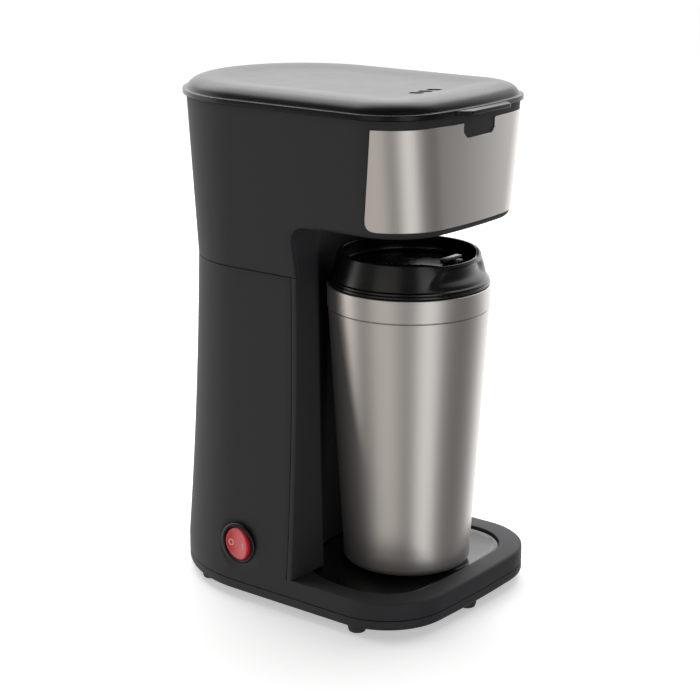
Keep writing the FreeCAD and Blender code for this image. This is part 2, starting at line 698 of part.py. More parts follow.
def thermal_fuse():
    body = new_body("thermal_fuse")
    level = "heater_level + heater_height / 2 + joint_gap + 2"
    for radius, start, length in (("2", "-6", "12"), ("0.6", "-9", "18")):
        sketch = new_sketch(body, "XZ_Plane", "-heater_y - 2 + (%s)" % start)
        pad(body, circles(sketch, [("tube_x", level, radius)]), length)


def outlet_spout():
    """An arm that carries the hot water from the riser to a point over the filter."""
    body = new_body("outlet_spout")
    level = "tank_top - 1"
    tip_x, tip_y = "0", "-mug_axis + 14"
    width = 4.2
    run_x, run_y = number(tip_x) - number("tube_x"), number(tip_y) - number("hot_tube_y")
    length = math.hypot(run_x, run_y)
    across_x, across_y = -run_y / length * width, run_x / length * width
    arm = outline(new_sketch(body, "XY_Plane", level), [
        ("tube_x + %.3f" % across_x, "hot_tube_y + %.3f" % across_y),
        (tip_x + " + %.3f" % across_x, tip_y + " + %.3f" % across_y),
        (tip_x + " - %.3f" % across_x, tip_y + " - %.3f" % across_y),
        ("tube_x - %.3f" % across_x, "hot_tube_y - %.3f" % across_y),
    ])
    pad(body, arm, "5")
    for x, y in (("tube_x", "hot_tube_y"), (tip_x, tip_y)):
        pad(body, circles(new_sketch(body, "XY_Plane", level), [(x, y, "5.2")]), "5")
    pad(body, circles(new_sketch(body, "XY_Plane", level), [("tube_x", "hot_tube_y", "tube_bore")]), "8",
        reverse=True)
    hole = circles(new_sketch(body, "XY_Plane", level + " - 9"), [("tube_x", "hot_tube_y", "2.6")])
    pocket(body, hole, "12", reverse=True)
    pocket(body, circles(new_sketch(body, "XY_Plane", level), [(tip_x, tip_y, "2.4")]), "3", reverse=True)


# ---------------------------------------------------------------- brew basket and filter
def basket_support():
    body = new_body("basket_support")
    level = "basket_level - 2.2"
    pad(body, head_plan(body, level, "wall + joint_gap"), "2")
    rear = "-mug_axis + basket_radius + 4"
    side_cut(body, [(rear, level + " - 1"), ("2 * base_back", level + " - 1"),
                    ("2 * base_back", level + " + 4"), (rear, level + " + 4")])
    seat = circles(new_sketch(body, "XY_Plane", level), [("0", "-mug_axis", "basket_radius + joint_gap")])
    pocket(body, seat, "4", reverse=True)


def brew_basket():
    low = "basket_level - basket_depth"
    turned_body("brew_basket", [
        ("2.5", "roof_level + 1.5"), ("5", "roof_level + 1.5"), ("5.5", low),
        ("basket_floor_radius", low + " + 2"),
        ("basket_radius", "basket_level - 5"), ("basket_radius", "basket_level"),
        ("basket_radius + basket_flange", "basket_level"),
        ("basket_radius + basket_flange", "basket_level + basket_wall"),
        ("basket_radius - basket_wall", "basket_level + basket_wall"),
        ("basket_radius - basket_wall", "basket_level - 5"),
        ("basket_floor_radius - basket_wall", low + " + 2 + basket_wall"), ("2.5", low + " + basket_wall"),
    ], "0", "-mug_axis")


def permanent_filter():
    rim = "basket_radius - basket_wall - 0.4"
    floor = "basket_level - basket_depth + 8"
    top = "basket_level + basket_wall + joint_gap"
    turned_body("filter_frame", [
        (rim + " - 3", "basket_level - 1"), (rim, "basket_level - 1"), (rim, top),
        (rim + " + 2", top), (rim + " + 2", top + " + 1.4"), (rim + " - 3", top + " + 1.4"),
    ], "0", "-mug_axis")
    turned_body("filter_mesh", [
        ("0", floor), ("filter_floor_radius", floor), (rim + " - 3.2", "basket_level - 1"),
        (rim + " - 3.2", top),
        (rim + " - 3.2 - filter_wall", top), (rim + " - 3.2 - filter_wall", "basket_level - 1"),
        ("filter_floor_radius - filter_wall", floor + " + filter_wall"), ("0", floor + " + filter_wall"),
    ], "0", "-mug_axis")


# ---------------------------------------------------------------- switch and cord entry
def switch():
    body = new_body("switch_body")
    face = "-switch_face"
    spot = [("switch_y", "switch_level")]
    barrel = circles(new_sketch(body, "YZ_Plane", face),
                     [(y, z, "switch_radius - joint_gap") for y, z in spot])
    pad(body, barrel, "barrel_depth")
    flange = circles(new_sketch(body, "YZ_Plane", face), [(y, z, "switch_bezel_radius") for y, z in spot])
    pad(body, flange, "1.5", reverse=True)
    well = circles(new_sketch(body, "YZ_Plane", face + " - 1.5"),
                   [(y, z, "rocker_radius + running_gap") for y, z in spot])
    pocket(body, well, "6", reverse=True)
    # the rocker tilts about an upright line at the mouth of the well
    rocker = new_body("switch_rocker")
    profile = outline(new_sketch(rocker, "XY_Plane", "-rocker_radius"), [
        ("-rocker_height", "-rocker_radius"), ("-rocker_height + 0.9", "0"),
        ("-rocker_height", "rocker_radius"),
        ("1.2", "rocker_radius - 0.2"), ("1.2", "0.2 - rocker_radius"),
    ])
    pad(rocker, profile, "2 * rocker_radius")
    keep = circles(new_sketch(rocker, "YZ_Plane", "-10"),
                   [("0", "0", "2 * rocker_radius"), ("0", "0", "rocker_radius - 0.15")])
    pocket(rocker, keep, "20", reverse=True)
    place(rocker, face + " - 0.6", "switch_y", "switch_level")
    tilt = FreeCAD.Rotation(FreeCAD.Vector(0, 0, 1), -number("rocker_rest_tilt"))
    rocker.Placement = FreeCAD.Placement(rocker.Placement.Base, tilt)
    rocker.setExpression("Placement.Rotation.Angle", words("-rocker_rest_tilt"))


def cord_gland():
    body = new_body("cord_gland")
    start = "-base_back - 1.8"
    for length, radius in (("7.5", "gland_radius - 0.1"), ("1.7", "gland_flange_radius")):
        ring = circles(new_sketch(body, "XZ_Plane", start), [("0", "gland_level", radius)])
        pad(body, ring, length)
    bore = circles(new_sketch(body, "XZ_Plane", "-1.2 * base_back"), [("0", "gland_level", "gland_bore")])
    pocket(body, bore, "0.5 * base_back", reverse=True)


def terminal_block():
    body = new_body("terminal_block")
    near, far = "base_back - 18.2", "base_back - 9.2"
    block = outline(new_sketch(body, "XY_Plane", "pan_floor"),
                    [("-12", near), ("12", near), ("12", far), ("-12", far)])
    pad(body, block, "12")


# ---------------------------------------------------------------- travel mug
MUG_FLOOR = "(deck_level - tray_sink + running_gap)"
MUG_RIM = "(" + MUG_FLOOR + " + mug_body_height)"
MUG_BAND = "(" + MUG_RIM + " - mug_band_height)"


def mug():
    toe = MUG_FLOOR + " + 0.8"
    heel = MUG_FLOOR + " + 6"
    shell = "mug_wall"
    side = "mug_top_radius - mug_groove"
    turned_body("mug_shell", [
        ("0", toe), ("mug_foot_radius - 1", toe), ("mug_foot_radius + 2.6", toe + " + 1.6"),
        ("mug_low_radius", heel), (side, MUG_BAND + " - 0.6"),
        (side + " - 0.8", MUG_BAND + " - 0.6"), (side + " - 0.8", MUG_RIM + " - 1"),
        (side + " - 0.8 - " + shell, MUG_RIM + " - 1"), (side + " - 0.8 - " + shell, MUG_BAND + " - 2"),
        ("mug_low_radius - " + shell, heel + " + 0.5"), ("mug_foot_radius + 1.6", toe + " + 2.4"),
        ("mug_foot_radius - 1.4", toe + " + " + shell), ("0", toe + " + " + shell),
    ], "0", "-mug_axis")
    turned_body("mug_band", [
        (side + " - 0.8", MUG_BAND), ("mug_top_radius", MUG_BAND), ("mug_top_radius", MUG_RIM),
        (side + " - 0.8 - " + shell, MUG_RIM), (side + " - 0.8 - " + shell, MUG_RIM + " - 1"),
        (side + " - 0.8", MUG_RIM + " - 1"),
    ], "0", "-mug_axis")
    inner = "mug_top_radius - 4.6"
    low_inner = "mug_low_radius - 4"
    turned_body("mug_liner", [
        ("0", heel + " - 1"), (low_inner, heel + " - 1"), (inner, MUG_RIM + " - 14"),
        (inner, MUG_RIM + " - 2.2"), (side + " - 0.8 - " + shell, MUG_RIM + " - 2.2"),
        (side + " - 0.8 - " + shell, MUG_RIM + " - 1.2"),
        (inner + " - 0.8", MUG_RIM + " - 1.2"), (inner + " - 0.8", MUG_RIM + " - 14"),
        (low_inner + " - 0.8", heel), ("0", heel),
    ], "0", "-mug_axis")
    turned_body("mug_base_pad", [
        ("0", MUG_FLOOR), ("mug_foot_radius - 4", MUG_FLOOR), ("mug_foot_radius - 3", toe), ("0", toe),
    ], "0", "-mug_axis")


def mug_lid():
    body = new_body("mug_lid")
    seat = MUG_RIM + " + running_gap"
    plug = "mug_plug_radius"
    wall = "mug_lid_wall"
    ring = "mug_lid_radius + 1.4"
    rim = "mug_lid_radius - 3.8"
    section = outline(new_sketch(body, "XZ_Plane"), [
        ("0", seat + " + 5.4"), (plug + " - 2", seat + " + 5.4"), (plug + " - 2", seat + " - 9"),
        (plug, seat + " - 9"),
        (plug, seat), (ring, seat), (ring, seat + " + 3"), ("mug_lid_radius", seat + " + 3.6"),
        (rim, seat + " + mug_lid_height"), (rim + " - " + wall, seat + " + mug_lid_height"),
        ("mug_lid_radius - 1.6 * " + wall, seat + " + 8"), ("0", seat + " + 8"),
    ])
    turn(body, section)
    # slot for the slider's stem and the drinking hole
    front, back = "6 - " + plug, "24 - " + plug
    slot = outline(new_sketch(body, "XY_Plane", seat + " + 4"),
                   [("-2.6", front), ("2.6", front), ("2.6", back), ("-2.6", back)])
    pocket(body, slot, "10", reverse=True)
    place(body, "0", "-mug_axis")


def sip_slider():
    body = new_body("sip_slider")
    seat = MUG_RIM + " + running_gap + 8 + running_gap"
    # half width, front and back from the plug's edge, height, and whether it points down
    plate = ("8", "3", "17", "1.8", False)
    grip = ("6.5", "8", "11.5", "8.2", False)
    stem = ("2.2", "6.4", "13", "3.6", True)
    for half, front, back, height, down in (plate, grip, stem):
        near, far = front + " - mug_plug_radius", back + " - mug_plug_radius"
        section = outline(new_sketch(body, "XY_Plane", seat),
                          [("-" + half, near), (half, near), (half, far), ("-" + half, far)])
        pad(body, section, height, reverse=down)
    place(body, "0", "-mug_axis")


def mug_lid_seal():
    seat = MUG_RIM + " + running_gap"
    plug = "mug_plug_radius"
    turned_body("mug_lid_seal", [
        (plug, seat + " - 7"), (plug + " + 0.7", seat + " - 7"), (plug + " + 0.7", seat + " - 4.6"),
        (plug, seat + " - 4.6"),
    ], "0", "-mug_axis")


# ---------------------------------------------------------------- build, check and write
def build():
    base_plate()
    feet()
    screw_group("base_screws", BOSSES, "foot_height + 0.2")
    lower_housing()
    mug_tray()
    bay_panel()
    upper_housing()
    hinge_pin()
    head_underside()
    front_panel()
    lid_cover()
    lid_inner_plate()
    water_tank()
    turned_tube("hot_water_tube", "tube_x", "hot_tube_y", "tank_top - 1.2")
    turned_tube("cold_water_tube", "-tube_x", "cold_tube_y", "tank_floor - 8.4 - valve_height")
    check_valve()
    hose_clamps()
    heater_block()
    heater_tube()
    heater_bracket()
    thermostat()
    thermal_fuse()
    outlet_spout()
    basket_support()
    brew_basket()
    permanent_filter()
    switch()
    cord_gland()
    terminal_block()
    mug()
    mug_lid()
    sip_slider()
    mug_lid_seal()


def write():
    doc.recompute()
    failed = [item.Name for item in doc.Objects if "Invalid" in item.State or "Error" in item.State]
    if failed:
        raise RuntimeError("not computed: " + ", ".join(failed))
    parts = [item for item in doc.Objects if item.TypeId in ("PartDesign::Body", "Part::Compound")]
    for item in parts:
        if item.Shape.isNull() or not item.Shape.isValid():
            raise RuntimeError(item.Label + " has no valid shape")
    os.makedirs("parts", exist_ok=True)
    for item in parts:
        item.Shape.exportStep("parts/%s.step" % item.Label)
        box = item.Shape.BoundBox
        print("%-18s %8.0f mm3  x %6.1f %6.1f  y %6.1f %6.1f  z %6.1f %6.1f  solids %d" % (
            item.Label, item.Shape.Volume, box.XMin, box.XMax, box.YMin, box.YMax, box.ZMin, box.ZMax,
            len(item.Shape.Solids)))


build()
write()
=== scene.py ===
import math
from collections import namedtuple

import bmesh
import bpy
from bpy.props import FloatProperty, FloatVectorProperty, IntProperty, PointerProperty
from mathutils import Matrix, Vector
from mathutils.geometry import delaunay_2d_cdt


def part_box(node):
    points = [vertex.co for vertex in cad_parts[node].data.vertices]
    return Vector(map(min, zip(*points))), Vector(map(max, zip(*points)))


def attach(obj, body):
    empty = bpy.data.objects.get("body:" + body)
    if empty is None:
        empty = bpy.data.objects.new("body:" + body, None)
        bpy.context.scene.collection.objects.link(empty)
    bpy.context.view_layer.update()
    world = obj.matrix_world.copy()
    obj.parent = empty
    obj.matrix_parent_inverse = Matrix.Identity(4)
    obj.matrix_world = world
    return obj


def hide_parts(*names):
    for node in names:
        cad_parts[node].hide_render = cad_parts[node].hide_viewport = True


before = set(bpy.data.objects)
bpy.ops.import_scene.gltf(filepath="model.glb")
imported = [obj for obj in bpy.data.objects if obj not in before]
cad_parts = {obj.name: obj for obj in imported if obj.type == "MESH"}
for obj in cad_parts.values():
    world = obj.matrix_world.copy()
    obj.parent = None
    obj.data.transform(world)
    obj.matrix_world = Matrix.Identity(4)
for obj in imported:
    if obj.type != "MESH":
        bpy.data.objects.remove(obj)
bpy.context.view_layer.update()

bl_info = {
    "name": "Drip coffee maker",
    "version": (1, 0, 0),
    "blender": (4, 5, 0),
    "location": "3D View > Sidebar > Coffee maker",
    "description": "Builds the shells, mug, trims and finishes of a one-cup drip coffee maker",
    "category": "Add Mesh",
}

MM = 0.001
MERGE = 0.0005 * MM
QUARTER = 0.5 * math.pi
JOINT_GAP = 0.2 * MM
ROCKER_RADIUS = 8.85 * MM

# ---------------------------------------------------------------- levels and places of the frame
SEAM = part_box("lower_housing")[0].z
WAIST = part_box("lower_housing")[1].z
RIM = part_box("upper_housing")[1].z
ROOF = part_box("bay_panel")[1].z
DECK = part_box("bay_panel")[0].z
BAY_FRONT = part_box("bay_panel")[0].y
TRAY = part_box("mug_tray")
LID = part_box("lid_cover")
LID_LEVEL = RIM + 0.3 * MM
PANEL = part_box("front_panel")
MUG_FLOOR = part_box("mug_base_pad")[0].z
MUG_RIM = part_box("mug_band")[1].z
MUG_AXIS = 0.5 * (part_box("mug_band")[0].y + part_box("mug_band")[1].y)
MUG_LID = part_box("mug_lid")
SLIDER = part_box("sip_slider")
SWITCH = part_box("switch_body")
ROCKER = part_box("switch_rocker")
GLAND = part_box("cord_gland")
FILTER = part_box("filter_frame")
FOOT_NODES = ("foot_front", "foot_front_left", "foot_front_right", "foot_rear_left", "foot_rear_right")


def middle(box):
    """The centre of a box given by its two corners."""
    return (box[0] + box[1]) / 2


# ---------------------------------------------------------------- settings
def length(name, description, default):
    return FloatProperty(name=name, description=description, default=default, unit="LENGTH",
                         subtype="DISTANCE", precision=5)


def colour(name, description, default):
    return FloatVectorProperty(name=name, description=description, default=default, size=3,
                               subtype="COLOR", min=0, max=1)


class HousingSettings(bpy.types.PropertyGroup):
    """Outlines of the housing seen from above, and its edges."""
    base_half_width: length("Base half width", "Half the width of the base", 0.0674)
    base_front: length("Base front", "Reach of the base to the front", 0.0902)
    base_back: length("Base back", "Reach of the base to the back", 0.0902)
    base_corner: length("Base corner", "Radius of the base's front corners", 0.036)
    base_bow: length("Base bow", "Radius of the base's bowed front", 0.67)
    flare_half_width: length("Flare half width", "Half the width halfway up the tower", 0.0565)
    flare_back: length("Flare back", "Reach to the back halfway up the tower", 0.0866)
    flare_level: length("Flare level", "Height at which the flare is measured", 0.1)
    waist_half_width: length("Waist half width", "Half the width at the waist seam", 0.0502)
    waist_front: length("Waist front", "Reach to the front at the waist seam", 0.0826)
    waist_back: length("Waist back", "Reach to the back at the waist seam", 0.0848)
    top_half_width: length("Top half width", "Half the width at the rim", 0.0599)
    top_front: length("Top front", "Reach to the front at the rim", 0.0851)
    top_back: length("Top back", "Reach to the back at the rim", 0.0876)
    head_corner: length("Head corner", "Radius of the head's front corners", 0.03)
    head_bow: length("Head bow", "Radius of the head's bowed front", 0.3)
    wall: length("Wall", "Thickness of the housing's walls", 0.0022)
    deck_chamfer: length("Deck chamfer", "Chamfer round the top of the base", 0.0009)
    head_curl: length("Head curl", "Radius under the front of the head", 0.003)
    edge: length("Edge", "Radius of the small moulded edges", 0.0005)
    bay_high: length("Bay front at the waist", "How far ahead of the middle the tower starts there", 0.009)
    bay_arch: length("Bay arch", "Radius where the tower meets the head", 0.009)
    bay_panel_wall: length("Bay panel wall", "Thickness of the panel behind the mug", 0.003)
    recess_radius: length("Recess radius", "Radius of the hollow behind the mug", 0.0465)
    lid_overhang: length("Lid overhang", "How far the lid stands out past the rim", 0.002)
    lid_bow: length("Lid bow", "Radius of the lid's bowed front", 0.25)
    tray_half_width: length("Tray half width", "Half the width of the mug's tray", 0.055)
    tray_front: length("Tray front", "Reach of the tray to the front", 0.0784)
    panel_wrap: length("Panel wrap", "Where the steel panel ends on the sides", 0.062)
    panel_corner: length("Panel corner", "Radius of the panel's lower corners", 0.006)


class MugSettings(bpy.types.PropertyGroup):
    """Sizes of the travel mug."""
    top_radius: length("Top radius", "Radius of the mug's top band", 0.0422)
    low_radius: length("Low radius", "Radius of the mug above its heel", 0.0336)
    foot_radius: length("Foot radius", "Radius of the mug's flat foot", 0.029)
    band_height: length("Band height", "Height of the band above the groove", 0.0116)
    wall: length("Wall", "Thickness of the mug's steel", 0.0008)
    lid_radius: length("Lid radius", "Radius of the mug lid's wall", 0.0402)
    segments: IntProperty(name="Segments", description="Steps round the mug", default=160, min=24)


class FinishSettings(bpy.types.PropertyGroup):
    """Colours of the finishes."""
    housing: colour("Housing", "Satin black plastic", (0.0032, 0.003, 0.0031))
    tray: colour("Tray", "Glossy black plastic", (0.006, 0.006, 0.007))
    steel: colour("Steel", "Brushed stainless steel", (0.62, 0.585, 0.55))
    rocker_edge: colour("Rocker edge", "Red of the switch near its edge", (0.62, 0.006, 0.016))
    # The switch's middle colour is a painted highlight, lighter than the red at its edge.
    rocker_painted_highlight: colour("Rocker middle", "Red of the switch in its middle", (0.78, 0.042, 0.045))
    rubber: colour("Rubber", "Feet and seals", (0.02, 0.02, 0.02))
    mark: colour("Marks", "White marks on the switch", (0.8, 0.8, 0.78))
    floor: colour("Floor", "Pale studio floor", (0.86, 0.86, 0.86))


class StageSettings(bpy.types.PropertyGroup):
    """Camera of the studio."""
    azimuth: FloatProperty(name="Azimuth", description="Turn of the camera about the object",
                           default=math.radians(-52.07), subtype="ANGLE", unit="ROTATION")
    elevation: FloatProperty(name="Elevation", description="Height of the camera above the horizon",
                             default=math.radians(15.96), subtype="ANGLE", unit="ROTATION")
    distance: length("Distance", "From the camera to its target", 1.0077)
    target: FloatVectorProperty(name="Target", description="Point that the camera looks at",
                                default=(0.0257, 0.0153, 0.1169), subtype="TRANSLATION", unit="LENGTH")
    lens: FloatProperty(name="Lens", description="Focal length", default=93.9, unit="CAMERA")


# ---------------------------------------------------------------- outlines
Plan = namedtuple("Plan", "half_width front back corner bow")

BACK_STEPS = 36
SIDE_STEPS = 12
LEDGE_STEPS = 8
CORNER_STEPS = 18
BOW_STEPS = 12
EDGE_STEPS = 4
FRONT_STEPS = LEDGE_STEPS + CORNER_STEPS + BOW_STEPS


def arc(x, y, radius, start, end, steps):
    """Points along an arc, both ends included."""
    turns = [start + (end - start) * k / steps for k in range(steps + 1)]
    return [(x + radius * math.cos(turn), y + radius * math.sin(turn)) for turn in turns]


def line(start, end, steps):
    """Points along a straight line, both ends included."""
    return [(start[0] + (end[0] - start[0]) * k / steps, start[1] + (end[1] - start[1]) * k / steps)
            for k in range(steps + 1)]


def bent(start, corner, end, steps):
    """Points along a smooth bend from start to end, towards corner."""
    points = []
    for k in range(steps + 1):
        t = k / steps
        points.append(tuple(a * (1 - t) ** 2 + 2 * b * t * (1 - t) + c * t * t
                            for a, b, c in zip(start, corner, end)))
    return points


def shrunk(plan, inset):
    """The plan drawn in by inset all round."""
    return Plan(plan.half_width - inset, plan.front - inset, plan.back - inset, plan.corner - inset, plan.bow)


def corners_of(plan):
    """Centre of the right front corner, centre of the bow, lean of the joint between them."""
    corner_x = plan.half_width - plan.corner
    bow_y = plan.bow - plan.front
    corner_y = bow_y - math.sqrt((plan.bow - plan.corner) ** 2 - corner_x ** 2)
    return corner_x, corner_y, bow_y, math.asin(corner_x / (plan.bow - plan.corner))


def full_half(plan, split=None):
    """Right half of a whole plan, from its back to its front; split divides the side's points."""
    corner_x, corner_y, bow_y, lean = corners_of(plan)
    width = plan.half_width
    back_y = plan.back - width
    if split is None:
        split = (back_y + corner_y) / 2
    half = arc(0, back_y, width, QUARTER, 0, BACK_STEPS)
    half += line((width, back_y), (width, split), SIDE_STEPS)[1:]
    half += line((width, split), (width, corner_y), LEDGE_STEPS)[1:]
    half += arc(corner_x, corner_y, plan.corner, 0, lean - QUARTER, CORNER_STEPS)[1:]
    half += arc(0, bow_y, plan.bow, lean - QUARTER, -QUARTER, BOW_STEPS)[1:]
    return half


def tower_half(plan, front, edge, lip, depth, drum):
    """Right half of the tower's plan: cut off at front, with a lip, and hollowed for the mug."""
    width = plan.half_width
    back_y = plan.back - width
    seat = front + depth
    half = arc(0, back_y, width, QUARTER, 0, BACK_STEPS)
    half += line((width, back_y), (width, front + edge), SIDE_STEPS)[1:]
    half += arc(width - edge, front + edge, edge, 0, -QUARTER, EDGE_STEPS)[1:]
    half += [(width - lip, front), (width - lip, seat)]
    start = math.asin(min(1, (seat - MUG_AXIS) / drum))
    meet = (drum * math.cos(start), seat)
    half += line((width - lip, seat), meet, 6)[1:]
    half += arc(0, MUG_AXIS, drum, start, QUARTER, FRONT_STEPS - EDGE_STEPS - 8)[1:]
    return half


def faded(outer, inner, split, run):
    """Outer half outline that passes to the inner one ahead of split, over a run."""
    points = []
    for (x0, y0), (x1, y1) in zip(outer, inner):
        t = min(1, max(0, (split - y0) / run))
        t = t * t * (3 - 2 * t)
        points.append((x0 + (x1 - x0) * t, y0 + (y1 - y0) * t))
    return points


def ring(half, level):
    """A whole ring at a level, from its right half."""
    outline = half + [(-x, y) for x, y in reversed(half[1:-1])]
    return [(x, y, level) for x, y in outline]


def rounded(corners, closed=False, steps=5):
    """Outline through (x, y, radius) corners, each rounded to its own radius."""
    path = []
    count = len(corners)
    for index, (x, y, radius) in enumerate(corners):
        here = Vector((x, y))
        if radius == 0 or (not closed and index in (0, count - 1)):
            path.append((x, y))
            continue
        before = Vector(corners[index - 1][:2]) - here
        after = Vector(corners[(index + 1) % count][:2]) - here
        reach = radius / math.tan(before.angle(after) / 2)
        reach = min(reach, 0.49 * before.length, 0.49 * after.length)
        start = here + before.normalized() * reach
        end = here + after.normalized() * reach
        path += bent(tuple(start), (x, y), tuple(end), steps)
    return path


def rectangle(left, right, near, far, corner, steps=5):
    """A closed rectangle with rounded corners."""
    return rounded([(left, near, corner), (right, near, corner), (right, far, corner), (left, far, corner)],
                   closed=True, steps=steps)


def drawn_in(outline, inset):
    """A closed outline moved inwards by inset, whichever way it runs."""
    count = len(outline)
    area = sum(outline[i][0] * outline[(i + 1) % count][1] - outline[(i + 1) % count][0] * outline[i][1]
               for i in range(count))
    side = 1 if area > 0 else -1
    path = []
    for index, (x, y) in enumerate(outline):
        before = Vector((x, y)) - Vector(outline[index - 1])
        after = Vector(outline[(index + 1) % count]) - Vector((x, y))
        normals = [Vector((-edge.y, edge.x)).normalized() for edge in (before, after) if edge.length > 1e-9]
        normal = sum(normals, Vector((0, 0))).normalized()
        spread = max(0.4, normal.dot(normals[0]))
        path.append((x + side * normal.x * inset / spread, y + side * normal.y * inset / spread))
    return path


# ---------------------------------------------------------------- meshes
def new_piece(name, points, faces=(), edges=()):
    mesh = bpy.data.meshes.new(name)
    mesh.from_pydata(points, edges, faces)
    piece = bpy.data.objects.new(name, mesh)
    bpy.context.scene.collection.objects.link(piece)
    return piece


def cleaned(piece, sharp=35):
    """Merge doubles, drop faces without area, point faces outwards and shade smooth."""
    mesh = bmesh.new()
    mesh.from_mesh(piece.data)
    bmesh.ops.remove_doubles(mesh, verts=mesh.verts, dist=MERGE)
    bmesh.ops.dissolve_degenerate(mesh, edges=mesh.edges, dist=MERGE)
    bmesh.ops.recalc_face_normals(mesh, faces=mesh.faces)
    mesh.to_mesh(piece.data)
    mesh.free()
    piece.data.shade_smooth()
    piece.data.set_sharp_from_angle(angle=math.radians(sharp))
    return piece


def stacked(name, rings, sharp=35):
    """A closed piece through rings that have the same number of points."""
    count = len(rings[0])
    points = [point for one in rings for point in one]
    faces = []
    for level in range(len(rings) - 1):
        for index in range(count):
            follower = (index + 1) % count
            low, high = level * count, (level + 1) * count
            faces.append((low + index, low + follower, high + follower, high + index))
    faces.append(tuple(reversed(range(count))))
    faces.append(tuple(range(len(points) - count, len(points))))
    return cleaned(new_piece(name, points, faces), sharp)


def edge_profile(low, high, edge, steps=3):
    """(inset, level) pairs of an upright wall whose two edges are rounded."""
    turns = [QUARTER * k / steps for k in range(steps + 1)]
    lower = [(edge * (1 - math.sin(turn)), low + edge * (1 - math.cos(turn))) for turn in turns]
    upper = [(edge * (1 - math.cos(turn)), high - edge * (1 - math.sin(turn))) for turn in turns]
    return lower + upper


def prism(name, outline, low, high, edge):
    """A block with the given closed outline, upright sides and rounded edges."""
    rings = [[(x, y, level) for x, y in drawn_in(outline, inset)]
             for inset, level in edge_profile(low, high, edge)]
    return stacked(name, rings)


def applied(piece):
    """Replace the piece's mesh by what its modifiers make of it, and remove them."""
    graph = bpy.context.evaluated_depsgraph_get()
    made = bpy.data.meshes.new_from_object(piece.evaluated_get(graph), depsgraph=graph)
    piece.modifiers.clear()
    plain = piece.data
    piece.data = made
    bpy.data.meshes.remove(plain)
    return piece


def discard(piece):
    mesh = piece.data
    bpy.data.objects.remove(piece)
    bpy.data.meshes.remove(mesh)


def combined(piece, tool, operation="DIFFERENCE"):
    """Cut the tool away from the piece, or join it to the piece, and remove the tool."""
    modifier = piece.modifiers.new(operation.title(), "BOOLEAN")
    modifier.operation = operation
    modifier.solver = "EXACT"
    modifier.object = tool
    before = len(piece.data.polygons)
    applied(piece)
    discard(tool)
    if len(piece.data.polygons) in (0, before):
        raise RuntimeError(piece.name + " wasn't changed by its boolean")
    return cleaned(piece)


def merged(piece, *others):
    """Add the meshes of the others to the piece as shells of their own."""
    mesh = bmesh.new()
    mesh.from_mesh(piece.data)
    for other in others:
        mesh.from_mesh(other.data)
        discard(other)
    mesh.to_mesh(piece.data)
    mesh.free()
    return piece


def moved(piece, matrix):
    """Move the piece's mesh, and leave its object at the origin."""
    piece.data.transform(matrix)
    return piece


def ball(name, centre, radius, segments=96):
    piece = new_piece(name, [])
    work = bmesh.new()
    bmesh.ops.create_uvsphere(work, u_segments=segments, v_segments=segments // 2, radius=radius)
    bmesh.ops.translate(work, verts=work.verts, vec=centre)
    work.to_mesh(piece.data)
    work.free()
    return piece


def round_bar(name, x, y, radius, low, high, edge=0.0, steps=48):
    outline = arc(x, y, radius, 0, 2 * math.pi, steps)[:-1]
    return prism(name, outline, low, high, edge)


def added(tree, kind, inputs=(), **settings):
    """A new node with its own settings; inputs gives the values of its sockets by name or number."""
    node = tree.nodes.new(kind)
    for name, value in settings.items():
        setattr(node, name, value)
    for socket, value in dict(inputs).items():
        node.inputs[socket].default_value = value
    return node


# ---------------------------------------------------------------- geometry node trees
def new_tree(name, sizes):
    """An empty tree with named inputs; gives the tree and its two end nodes."""
    tree = bpy.data.node_groups.new(name, "GeometryNodeTree")
    tree.interface.new_socket("Geometry", in_out="INPUT", socket_type="NodeSocketGeometry")
    for label, kind, default in sizes:
        socket = tree.interface.new_socket(label, in_out="INPUT", socket_type=kind)
        if default is not None:
            socket.default_value = default
    tree.interface.new_socket("Material", in_out="INPUT", socket_type="NodeSocketMaterial")
    tree.interface.new_socket("Geometry", in_out="OUTPUT", socket_type="NodeSocketGeometry")
    return tree, tree.nodes.new("NodeGroupInput"), tree.nodes.new("NodeGroupOutput")


def close_tree(tree, start, end, geometry):
    """End the tree in Realize Instances and Set Material."""
    realize = tree.nodes.new("GeometryNodeRealizeInstances")
    paint = tree.nodes.new("GeometryNodeSetMaterial")
    tree.links.new(geometry, realize.inputs[0])
    tree.links.new(realize.outputs[0], paint.inputs["Geometry"])
    tree.links.new(start.outputs["Material"], paint.inputs["Material"])
    tree.links.new(paint.outputs[0], end.inputs[0])
    return tree


